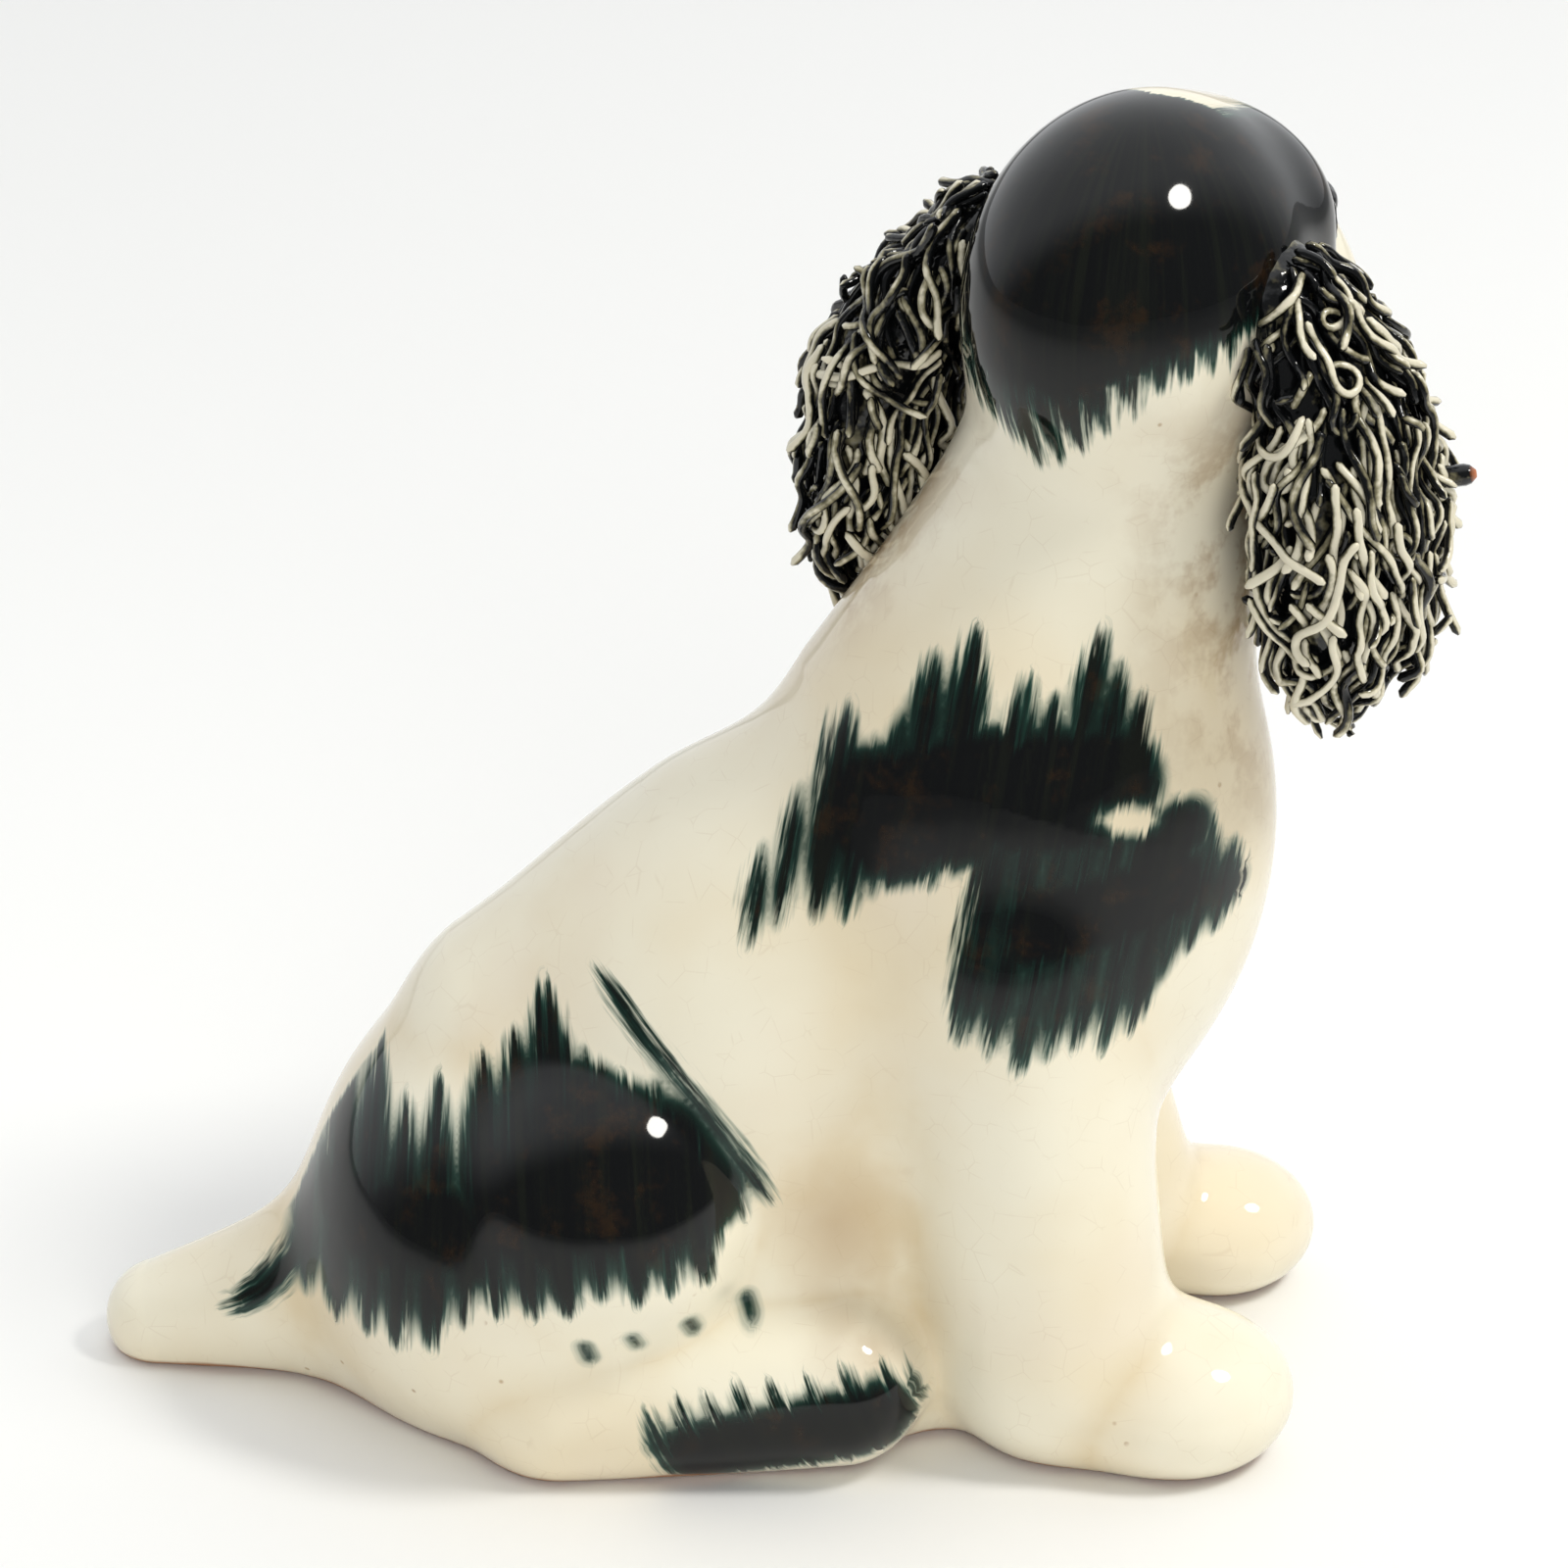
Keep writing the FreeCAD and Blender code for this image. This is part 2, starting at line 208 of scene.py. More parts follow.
MUZZLE = {
    "muzzle": (roll(head_point(14, 0, -5), head_point(31, 0, -6.6), 10.5, 7.6), 5),
    "right_lip": (head_form((29, -4.6, -10.4), (9.5, 5.2, 6.6)), 3.5),
    "left_lip": (head_form((29, 4.6, -10.4), (9.5, 5.2, 6.6)), 3.5),
    "chin": (head_form((26, 0, -15.6), (8.5, 4.6, 3.8)), 2.5),
}

EYE_RADIUS = 2.9
LID = 0.6  # half the thickness of the lids round the eyes


def eye_middle(side):
    """The middle of an eye; side is -1 for the right and 1 for the left."""
    return head_point(20.6, 8.6 * side, 1.8)


MOUTH = (
    head_point(38.4, 0, -7.5),
    head_point(38.2, 0, -11.2),
    head_point(34.5, 5.4, -15.4),
    head_point(27.0, 8.6, -16.6),
    head_point(19.5, 9.4, -14.2),
)


def mouth_groove(points):
    """The line under the nose and between the lips and the chin, on both sides."""
    across = (points - HEAD) @ LEFTWARD
    folded = points - LEFTWARD * (across - np.abs(across))[..., None]
    runs = [roll(a, b, 0.55, 0.55)(folded) for a, b in zip(MOUTH, MOUTH[1:])]
    return np.min(runs, axis=0)


def join(forms, points, start=None):
    """Blend a set of forms, in order, into what is there already."""
    field = start
    for form, reach in forms.values():
        distance = form(points)
        field = distance if field is None else blend(field, distance, reach)
    return field


def from_eyes(points):
    """How far each point is from the nearer eye's middle."""
    each = [roll(eye_middle(s), eye_middle(s) + 1e-3, 0, 0)(points) for s in (-1, 1)]
    return np.minimum(*each)


def head_field(points):
    field = join(MUZZLE, points, join(SKULL, points))
    from_lid = from_eyes(points) - EYE_RADIUS - LID
    lids = np.abs(from_lid) - LID
    field = carve(field, from_lid, 2.0)
    field = blend(field, np.maximum(lids, field - 1.1), 1.0)
    return carve(field, mouth_groove(points), 1.2)


def body_field(points):
    return join(LIMBS, points, join(TRUNK, points))


SOLE_LOW, SOLE_HIGH = spot("sole_plate", 0, 0, 0), spot("sole_plate", 1, 1, 1)
SOLE_MIDDLE = (SOLE_LOW + SOLE_HIGH) / 2
SOLE_HALF = (SOLE_HIGH - SOLE_LOW) / 2
VENT = np.array([0, 22, 0])
VENT_RADIUS = 4.0
NECK_BLEND = 8  # reach of the fillet between the head and the body
FOOT_ROUND = 1.4  # reach of the rounding where the figure meets the table


def sole_recess(points):
    """The oval opening under the body where the sole plate sits, and the hollow above it."""
    flat = (points - SOLE_MIDDLE)[..., :2] / SOLE_HALF[:2]
    around = (np.linalg.norm(flat, axis=-1) - 1) * SOLE_HALF[0]
    opening = np.maximum(around, points[..., 2] - SOLE_HIGH[2] - 0.4)
    hollow = ellipsoid(VENT + (0, 0, 8), (12, 14, 12))(points)
    return np.minimum(opening, hollow)


def skin(points):
    """The whole glazed surface of the figure, without its ears."""
    field = blend(body_field(points), head_field(points), NECK_BLEND)
    field = -blend(-field, points[..., 2], FOOT_ROUND)
    return np.maximum(field, -sole_recess(points))


# ---------------------------------------------------------------- surface nets


def near_surface(field, low, high, step):
    """Field values on a fine lattice, worked out only close to the surface."""
    block = 4
    counts = np.ceil((high - low) / (step * block)).astype(int)
    axes = [low[i] + (np.arange(counts[i]) + 0.5) * step * block for i in range(3)]
    middles = np.stack(np.meshgrid(*axes, indexing="ij"), -1)
    coarse = field(middles.reshape(-1, 3)).reshape(counts)
    values = np.repeat(np.repeat(np.repeat(coarse, block, 0), block, 1), block, 2)
    close = np.abs(values) < step * block * 1.15
    fine_axes = [low[i] + np.arange(counts[i] * block) * step for i in range(3)]
    index = np.argwhere(close)
    points = np.stack([fine_axes[i][index[:, i]] for i in range(3)], -1)
    found = np.concatenate([field(part) for part in np.array_split(points, 12)])
    values[tuple(index.T)] = found
    return values


def close_pinches(values, step):
    """Fill lattice corners where two sheets of the surface would share an edge."""
    filled = -0.05 * step
    for _ in range(4):
        for axis in range(3):
            faces = np.moveaxis(values, axis, 0)
            a, b = faces[:, :-1, :-1], faces[:, 1:, :-1]
            c, d = faces[:, 1:, 1:], faces[:, :-1, 1:]
            pinched = ((a < 0) == (c < 0)) & ((b < 0) == (d < 0)) & ((a < 0) != (b < 0))
            a[pinched & (a >= 0)] = filled
            b[pinched & (b >= 0)] = filled
    return values


def moved_back(cells, u, v, du, dv):
    """Lattice cells moved back by du and dv along two of the axes."""
    cells = cells.copy()
    cells[:, u] -= du
    cells[:, v] -= dv
    return cells


def surface_net(field, low, high, step):
    """A closed triangle mesh of the surface where the field is zero."""
    values = close_pinches(near_surface(field, low, high, step), step)
    inside = values < 0
    total = np.zeros(tuple(n - 1 for n in values.shape) + (3,), np.float32)
    count = np.zeros(total.shape[:3], np.float32)
    crossings = []
    for axis in range(3):
        a = np.take(values, range(0, values.shape[axis] - 1), axis)
        b = np.take(values, range(1, values.shape[axis]), axis)
        crossed = (a < 0) != (b < 0)
        crossings.append(crossed)
        where = np.argwhere(crossed)
        share = a[crossed] / (a[crossed] - b[crossed])
        place = where.astype(np.float32)
        place[:, axis] += share
        u, v = [i for i in range(3) if i != axis]
        for du in (0, 1):
            for dv in (0, 1):
                cell = moved_back(where, u, v, du, dv)
                fits = (cell[:, u] >= 0) & (cell[:, v] >= 0)
                fits &= (cell[:, u] < total.shape[u]) & (cell[:, v] < total.shape[v])
                np.add.at(total, tuple(cell[fits].T), place[fits])
                np.add.at(count, tuple(cell[fits].T), 1)
    used = count > 0
    number = np.full(count.shape, -1)
    number[used] = np.arange(used.sum())
    points = low + total[used] / count[used][:, None] * step
    quads = []
    for axis, crossed in enumerate(crossings):
        u, v = (axis + 1) % 3, (axis + 2) % 3
        where = np.argwhere(crossed)
        where = where[(where[:, u] > 0) & (where[:, v] > 0)]
        corners = []
        for du, dv in ((1, 1), (0, 1), (0, 0), (1, 0)):
            corners.append(number[tuple(moved_back(where, u, v, du, dv).T)])
        quad = np.stack(corners, -1)
        outward = inside[tuple(where.T)]
        quad[~outward] = quad[~outward][:, ::-1]
        quads.append(quad)
    quads = np.concatenate(quads)
    points = settle(points, field, step)
    return points, halve(points, quads)


SLOPE_REACH = 0.05  # from a point to the places where its slope is measured


def gradient(field, points):
    """The field's slope, from four points of a small tetrahedron."""
    corners = np.array([[1, -1, -1], [-1, -1, 1], [-1, 1, -1], [1, 1, 1]]) * SLOPE_REACH
    values = [field(points + corner)[:, None] * corner for corner in corners]
    return np.sum(values, axis=0) / (4 * SLOPE_REACH**2)


def settle(points, field, step):
    """Move points straight onto the surface."""
    for _ in range(2):
        slope = gradient(field, points)
        size = np.maximum((slope**2).sum(-1), 0.1)
        move = -field(points)[:, None] * slope / size[:, None]
        length = np.linalg.norm(move, axis=-1, keepdims=True)
        points = points + move * np.minimum(1, 0.6 * step / np.maximum(length, 1e-9))
    return points


def halve(points, quads):
    """Split quads across their shorter diagonal."""
    first = np.linalg.norm(points[quads[:, 0]] - points[quads[:, 2]], axis=-1)
    second = np.linalg.norm(points[quads[:, 1]] - points[quads[:, 3]], axis=-1)
    short = first < second
    a, b = quads[short], quads[~short]
    return np.concatenate(
        [a[:, [0, 1, 2]], a[:, [0, 2, 3]], b[:, [0, 1, 3]], b[:, [1, 2, 3]]]
    )


# ---------------------------------------------------------------- cutting the skin into pieces


def split(points, triangles, side):
    """Cut a mesh along side = 0. Returns its points, the negative part and the rest."""
    value = side(points)
    value[np.abs(value) < 1e-4] = 1e-4
    low = value[triangles] < 0
    odd_out = low.sum(1) == 2
    lone = np.where(odd_out[:, None], ~low, low)
    mixed = (low.sum(1) == 1) | odd_out
    part = triangles[mixed]
    shift = np.argmax(lone[mixed], axis=1)
    order = (shift[:, None] + np.arange(3)) % 3
    part = np.take_along_axis(part, order, 1)
    lone_is_low = value[part[:, 0]] < 0
    edges = np.concatenate([part[:, [0, 1]], part[:, [0, 2]]])
    edges = np.sort(edges, axis=1)
    unique, where = np.unique(edges, axis=0, return_inverse=True)
    where = where.reshape(-1)
    a, b = value[unique[:, 0]], value[unique[:, 1]]
    share = (a / (a - b))[:, None]
    fresh = points[unique[:, 0]] * (1 - share) + points[unique[:, 1]] * share
    first = len(points) + where[: len(part)]
    second = len(points) + where[len(part):]
    tip = np.stack([part[:, 0], first, second], -1)
    base_a = np.stack([first, part[:, 1], part[:, 2]], -1)
    base_b = np.stack([first, part[:, 2], second], -1)
    negative = [
        triangles[low.all(1)], tip[lone_is_low], base_a[~lone_is_low], base_b[~lone_is_low]
    ]
    positive = [
        triangles[~low.any(1)], tip[~lone_is_low], base_a[lone_is_low], base_b[lone_is_low]
    ]
    return np.concatenate([points, fresh]), np.concatenate(negative), np.concatenate(positive)


def open_rims(points, triangles):
    """The loops of points round each opening of a mesh."""
    edges = np.concatenate([triangles[:, [0, 1]], triangles[:, [1, 2]], triangles[:, [2, 0]]])
    codes = edges[:, 0] * len(points) + edges[:, 1]
    back = edges[:, 1] * len(points) + edges[:, 0]
    follow = {}
    for here, after in edges[~np.isin(codes, back)]:
        follow.setdefault(int(here), []).append(int(after))
    loops = []
    while follow:
        loop = [next(iter(follow))]
        while loop[-1] in follow:
            ahead = follow[loop[-1]]
            loop.append(ahead.pop())
            if not ahead:
                del follow[loop[-2]]
            if loop[-1] == loop[0]:
                break
        loops.append(np.array(loop[:-1]))
    return loops


def push_in(points, depth):
    """Points moved, where they need it, to lie at least this deep in the clay."""
    for _ in range(4):
        excess = np.maximum(skin(points) + depth, 0)
        points = points - unit(gradient(skin, points)) * excess[:, None]
    return points


CAP_DEPTH = 1.0  # of the caps under the surface of the clay


def cap(points, triangles):
    """Close each opening with a cap that dips inside the clay."""
    for loop in open_rims(points, triangles):
        ring, middle = points[loop], points[loop].mean(0)
        last, after = loop, np.roll(np.arange(len(loop)), -1)
        for share in (0.0, 0.25, 0.5, 0.75):
            fresh = push_in(ring + (middle - ring) * share, CAP_DEPTH)
            index = len(points) + np.arange(len(loop))
            points = np.concatenate([points, fresh])
            outer = np.stack([last[after], last, index], -1)
            inner = np.stack([last[after], index, index[after]], -1)
            triangles = np.concatenate([triangles, outer, inner])
            last = index
        points = np.concatenate([points, push_in(middle[None], CAP_DEPTH)])
        centre = np.full(len(loop), len(points) - 1)
        triangles = np.concatenate([triangles, np.stack([last[after], last, centre], -1)])
    return points, triangles


def compact(points, triangles):
    """Keep only the points that the triangles use."""
    used, fresh = np.unique(triangles, return_inverse=True)
    return points[used], fresh.reshape(-1, 3)


def group_distance(forms, names, points):
    return np.min([forms[name][0](points) for name in names], axis=0)


def trunk_distance(points):
    return group_distance(TRUNK, TRUNK, points)


def limb_side(names, neighbours=()):
    """Negative where the named limb forms lie nearer than the trunk and the neighbours."""

    def side(points):
        own = group_distance(LIMBS, names, points)
        other = trunk_distance(points)
        if neighbours:
            other = np.minimum(other, group_distance(LIMBS, neighbours, points))
        return own - other

    return side


def neck_side(points):
    """Negative above the joint between the neck and the head, and in the chin's reach."""
    slope = np.array([0, 0.22, 1.0])
    under_neck = -(points - head_point(-3, 0, -17)) @ slope
    behind_chin = 16 - (points - HEAD) @ FORWARD
    return np.minimum(under_neck, np.maximum(behind_chin, 105.5 - points[..., 2]))


def muzzle_side(points):
    return -(points - head_point(24.2, 0, -6)) @ (FORWARD - np.array([0, 0, 0.15]))


REGIONS = {"head": neck_side}
for limb, forms, neighbours in (
    ("foreleg", ("foreleg", "paw"), ("hind_foot", "haunch")),
    ("hind_foot", ("hind_foot",), ("haunch", "foreleg")),
    ("haunch", ("haunch",), ()),
):
    for flank in ("right_", "left_"):
        REGIONS[flank + limb] = limb_side(
            [flank + form for form in forms], [flank + form for form in neighbours]
        )
REGIONS["tail"] = limb_side(["tail"])

# ---------------------------------------------------------------- brushwork

# A stroke is its half width, then points of (place along Y, height) in millimetres from its
# foot to its top. A patch is a row of strokes between a lower edge and an upper edge.


def comb(places, lower, upper, half, lean, seed, rough=2.0):
    """A row of strokes with their feet on the lower edge and their tops near the upper one."""
    draw = np.random.default_rng(seed)
    row = []
    for place in places:
        foot = np.interp(place, *zip(*sorted(lower))) + draw.uniform(-0.7, 0.7) * rough
        top = np.interp(place, *zip(*sorted(upper))) + draw.uniform(-1.2, 1.2) * rough
        tip = place + lean * (top - foot)
        width = half * draw.uniform(0.85, 1.15)
        row.append((width, (place, foot), ((place + tip) / 2, (foot + top) / 2), (tip, top)))
    return tuple(row)


def curve(half, start, bend, end):
    """A stroke round a smooth bend."""
    start, bend, end = (np.array(place, float) for place in (start, bend, end))
    run = np.linspace(0, 1, 7)[:, None]
    return (half, *(start * (1 - run) ** 2 + bend * 2 * run * (1 - run) + end * run**2))


def flicked(places, height, seed):
    """Small drops thrown off the brush in a loose row."""
    draw = np.random.default_rng(seed)
    drops = []
    for place in places:
        size, top = draw.uniform(0.4, 1.2), height + draw.uniform(-1.2, 1.2)
        drops.append((size, (place, top), (place - 0.5, top - 1.5 * size)))
    return tuple(drops)


SHOULDER = (
    (1.6, (4, 60), (2, 70)),
    (1.6, (1, 62), (-2, 76)),
) + comb(
    np.linspace(-3, -45, 15),
    lower=((-3, 62), (-12, 69), (-16, 68), (-18, 50), (-34, 49), (-46, 62)),
    upper=((-3, 83), (-10, 91), (-24, 93), (-36, 79), (-46, 71)),
    half=2.6, lean=-0.18, seed=5, rough=3.0,
)
RUMP = (curve(1.7, (62, 9), (54, 12), (51, 24)),) + comb(
    np.linspace(52, 34, 6),
    lower=((52, 14), (44, 14), (34, 19)),
    upper=((52, 33), (44, 44), (34, 38)),
    half=2.6, lean=-0.05, seed=6,
)
HAUNCH = (
    curve(1.4, (20, 56), (8, 44), (1, 31)),
    curve(1.0, (13, 45), (6, 41), (4, 30)),
) + comb(
    np.linspace(30, 8, 7),
    lower=((30, 21), (20, 25), (8, 24)),
    upper=((30, 44), (24, 53), (8, 41)),
    half=3.8, lean=0.08, seed=7,
)
HIND_FOOT = comb(
    np.linspace(11, -14, 8),
    lower=((11, 2), (0, 1), (-14, 6)),
    upper=((11, 10), (0, 14), (-14, 15)),
    half=2.3, lean=0.42, seed=8, rough=0.8,
)
# The solid middles of the right side's patches, blunt at both ends, and a gap left in one.
RIGHT_BODIES = (
    (7.5, (-10, 75), (-20, 79), (-32, 79)),
    (5.5, (-26, 65), (-40, 67)),
    (4.0, (-38, 70), (-41, 73)),
    (5.5, (46, 27), (36, 30)),
    (4.0, (33, 28), (29, 32)),
    (7.0, (27, 34), (20, 37), (14, 35)),
    (4.5, (21, 43), (12, 40), (8, 34)),
    (5.0, (9, 5), (-10, 9)),
)
RIGHT_GAP = ((1.3, (-33, 76), (-38, 75)),)
RIGHT_DROPS = flicked((21, 16, 10, 4), 19, seed=9)

LEFT_NECK = comb(
    np.linspace(-8, -34, 7),
    lower=((-8, 70), (-26, 57), (-34, 63)),
    upper=((-8, 87), (-18, 92), (-34, 81)),
    half=3.0, lean=-0.1, seed=15,
)
LEFT_RUMP = comb(
    np.linspace(45, 8, 8),
    lower=((45, 17), (38, 15), (8, 29)),
    upper=((45, 36), (26, 51), (8, 41)),
    half=3.2, lean=-0.05, seed=16,
)
LEFT_FLANK = comb(
    np.linspace(3, 15, 4),
    lower=((3, 63), (11, 59), (15, 61)),
    upper=((3, 75), (15, 72)),
    half=2.4, lean=0.05, seed=17,
)
LEFT_BODIES = (
    (8.0, (-14, 78), (-22, 77), (-29, 74)),
    (6.5, (40, 28), (34, 31), (28, 33)),
    (7.5, (26, 36), (18, 37)),
    (4.0, (4, 68), (12, 68)),
)
LEFT_DROPS = flicked((24, 12, 2), 20, seed=11)

# The black cap's lower edge, as (degrees round from the nape towards the right ear, height
# over the head's middle), and the strokes that hang from it.
CAP_EDGE = (
    (-180, 3), (-140, -5), (-75, 0), (-30, -3), (-8, -7), (16, -7), (40, -3), (75, 2),
    (115, -4), (140, -5), (180, 3),
)
CAP_STROKES = comb(
    np.linspace(-58, 62, 16),
    lower=((-60, -2), (-30, -6), (0, -15), (12, -14), (40, -8), (62, -4)),
    upper=((-60, 5), (0, -1), (62, 6)),
    half=1.9, lean=0.5, seed=12, rough=1.2,
)
for cheek in (-1, 1):
    CAP_STROKES += comb(
        cheek * np.array([120, 130, 140]),
        lower=((cheek * 120, -6), (cheek * 140, -8)),
        upper=((cheek * 120, 2), (cheek * 140, 2)),
        half=1.6, lean=cheek * 0.4, seed=13, rough=0.5,
    )
CAP_ROUND = 17.5  # the head's rough radius, which turns degrees into millimetres
# The blaze's half width at places forward of the head's middle.
BLAZE = ((0, -5), (2.5, 1.5), (4.5, 5.5), (9, 5.2), (15, 3.9), (24, 3.8), (30, 6.5))


CAP_LOW, CAP_FRONT = -16, 25.5  # the paint's end under and ahead of the head's middle
BODY_PAINT_TOP = 104  # height over the table where the body's paint ends
NO_INK = -50.0  # an ink margin far outside any stroke
BLAZE_SHIFT, HEAD_SHIFT = 400, 700  # keep the brush hairs of the blaze and the cap apart


def stroke_ink(place, strokes, pointed=True):
    """Ink margin of the nearest stroke, places across and along it, and its lead on the next."""
    best, second = np.full(len(place), NO_INK), np.full(len(place), NO_INK - 10)
    across, along = np.zeros(len(place)), np.zeros(len(place))
    owner = np.full(len(place), -1)
    for number, (half, *path) in enumerate(strokes):
        path = np.array(path, float)
        lengths = np.linalg.norm(np.diff(path, axis=0), axis=1)
        tip_length = min(2.6 * half, 0.5 * lengths.sum())
        for index, (start, length) in enumerate(zip(path, lengths)):
            run = (path[index + 1] - start) / length
            reach = np.clip((place - start) @ run, 0, length)
            gap = place - start - reach[:, None] * run
            away = np.linalg.norm(gap, axis=1)
            so_far = lengths[:index].sum() + reach
            from_end = np.minimum(so_far, lengths.sum() - so_far)
            width = half * np.minimum(1, from_end / tip_length) ** 0.6 if pointed else half
            margin = width - away
            nearer = margin > best
            side = np.sign(gap @ np.array([run[1], -run[0]]))
            same = owner == number
            second = np.where(nearer & ~same, best, second)
            second = np.where(~nearer & ~same, np.maximum(second, margin), second)
            best = np.where(nearer, margin, best)
            owner = np.where(nearer, number, owner)
            across = np.where(nearer, side * away + 10 * number, across)
            along = np.where(nearer, so_far, along)
    return best, across, along, best - second


def side_ink(points, patches, bodies, gap, drops):
    """Margin, brush places and raggedness of the paint on one side of the body."""
    place = points[:, 1:]
    ink, across, along, lead = stroke_ink(place, sum(patches, ()))
    ink = np.maximum(ink, stroke_ink(place, bodies, pointed=False)[0])
    ink = np.minimum(ink, -stroke_ink(place, gap)[0])
    drop, drop_across, drop_along, _ = stroke_ink(place, drops, pointed=False)
    is_drop = drop > ink
    return (
        np.where(is_drop, drop, ink),
        np.where(is_drop, drop_across, across),
        np.where(is_drop, drop_along, along),
        np.where(is_drop, 0.2, np.clip(lead / 1.6 - 0.25, 0, 1)),
    )


def head_ink(points):
    """The same for the black cap, less the cream blaze from the crown to the nose."""
    local = points - HEAD
    forward, left, up = local @ FORWARD, local @ LEFTWARD, local[:, 2]
    angle = -np.degrees(np.arctan2(-left, -forward))
    width = math.radians(1) * CAP_ROUND
    strokes = [
        (half, *((turn * width, height) for turn, height in path)) for half, *path in CAP_STROKES
    ]
    ink = stroke_ink(np.stack([angle * width, up], -1), strokes)[0]
    ink = np.maximum(ink, up - np.interp(angle, *zip(*CAP_EDGE)))
    blaze = np.abs(left) - np.interp(forward, *zip(*BLAZE))
    in_blaze = (blaze < ink) & (forward > -1)
    across = np.where(in_blaze, left * 1.3 + BLAZE_SHIFT, angle * width)
    along = np.where(in_blaze, forward, up)
    ink = np.minimum(ink, blaze)
    ink = np.minimum(ink, CAP_FRONT - forward)
    return np.where(up > CAP_LOW, ink, NO_INK), across, along


def brushwork(points):
    """Paint numbers for each point of the skin, which the glaze material reads."""
    right = side_ink(
        points, (SHOULDER, RUMP, HAUNCH, HIND_FOOT), RIGHT_BODIES, RIGHT_GAP, RIGHT_DROPS
    )
    left = side_ink(points, (LEFT_NECK, LEFT_RUMP, LEFT_FLANK), LEFT_BODIES, (), LEFT_DROPS)
    on_right = points[:, 0] < 0
    ink, across, along, ragged = np.where(on_right, right, left)
    ink = np.minimum(ink, np.abs(points[:, 0]) - np.where(on_right, 3, 10))
    ink = np.where(points[:, 2] < BODY_PAINT_TOP, ink, NO_INK)
    cap_ink, cap_across, cap_along = head_ink(points)
    on_head = cap_ink > ink
    return {
        "ink": np.where(on_head, cap_ink, ink),
        "brush_x": np.where(on_head, cap_across + HEAD_SHIFT, across),
        "brush_y": np.where(on_head, cap_along, along),
        "ragged": np.where(on_head, 1.0, ragged),
    }


def stains_and_shade(points):
    """Brown glaze round the ears and in the mouth; painted shade in creases and by the elbow."""
    # Painted shade: darker in the creases between the forms, more so lower down, none above 100 mm.
    nearest = np.minimum(trunk_distance(points), group_distance(LIMBS, LIMBS, points))
    crease_shade = np.clip(nearest / 1.6, 0, 1) * np.clip(1.4 - points[:, 2] / 60, 0.25, 1)
    crease_shade = np.where(points[:, 2] < 100, crease_shade, 0)
    near_ear = np.minimum(ear_form(EARS[0])(points), ear_form(EARS[1])(points))
    around_ear = np.clip(1 - (near_ear - 2.0) / 14.0, 0, 1) ** 1.5
    around_ear *= np.clip((122 - points[:, 2]) / 14, 0, 1)
    # Painted shade along the fold where the right foreleg meets the body.
    elbow = spot("right_foreleg", 0.05, 1.12, 0.11)
    seam = roll(elbow, elbow + np.array([8.5, 7, 21]), 0, 0)
    elbow_fold_shade = np.clip(0.75 - seam(points) / 12, 0, 1)
    mouth = np.clip(1.3 - mouth_groove(points) / 0.5, 0, 1)
    return {"crease_shade": crease_shade, "around_ear": around_ear, "elbow": elbow_fold_shade, "mouth": mouth}


# ---------------------------------------------------------------- ears and their strands

EARS = (
    {
        "name": "right_ear",
        "seed": 11,
        "pad": spot("right_ear_pad", 0.502, 0.447, 0.377),
        "pad_lean": -4,
        "root": spot("right_ear_pad", 0.590, 0.627, 0.727),
        "root_lean": -22,
    },
    {
        "name": "left_ear",
        "seed": 23,
        "pad": spot("left_ear_pad", 0.531, 0.628, 0.382),
        "pad_lean": 4,
        "root": spot("left_ear_pad", 0.385, 0.366, 0.739),
        "root_lean": 32,
    },
)
PAD_RADII = (12.0, 6.4, 18.0)
ROOT_RADII = (9.2, 4.4, 14.2)
STRAND_RADIUS = 0.5
LOWEST_LEVEL = STRAND_RADIUS * 0.7  # of a strand's middle over the pad
STRAND_STEP = 0.55
STRAND_COUNT = 400
SHORTEST_STRAND, LONGEST_STRAND = 8, 50  # steps
STRAND_CLEARANCE = 0.4  # between a strand's middle and the skin
TIERS = ("crown", "hanging", "upper", "middle", "lower", "tip")
TIER_FLOORS = (121.5, 114.5, 108.0, 99.5, 91.5, 0.0)  # lowest height of each tier


def ear_form(ear):
    """The ear's clay pad, blended with its root on the head."""
    pad = ellipsoid(ear["pad"], PAD_RADII, HEAD_TURN, ear["pad_lean"])
    root = ellipsoid(ear["root"], ROOT_RADII, HEAD_TURN, ear["root_lean"])
    return lambda points: blend(pad(points), root(points), 9)


def unit(vectors):
    return vectors / np.maximum(np.linalg.norm(vectors, axis=-1, keepdims=True), 1e-9)


def on_level(form, points, level):
    """Points moved to a given height over a form, with the form's normals there."""
    for _ in range(2):
        slope = gradient(form, points)
        size = np.maximum((slope**2).sum(-1, keepdims=True), 0.1)
        points = points - (form(points)[:, None] - level[:, None]) * slope / size
    return points, unit(gradient(form, points))


def strand_starts(ear, draw, count):
    """Random places on the ear where strands begin."""
    turn = draw.uniform(0, 2 * math.pi, count)
    on_root = draw.uniform(0, 1, count) < 0.3
    share = np.where(on_root, draw.uniform(-0.3, 0.92, count), draw.uniform(-0.95, 0.75, count))
    spread = np.sqrt(1 - share**2)
    local = np.stack([spread * np.cos(turn), spread * np.sin(turn), share], -1)
    on_pad = ear["pad"] + (local * PAD_RADII) @ turned_axes(HEAD_TURN, ear["pad_lean"]).T
    off_root = ear["root"] + (local * ROOT_RADII) @ turned_axes(HEAD_TURN, ear["root_lean"]).T
    return np.where(on_root[:, None], off_root, on_pad)


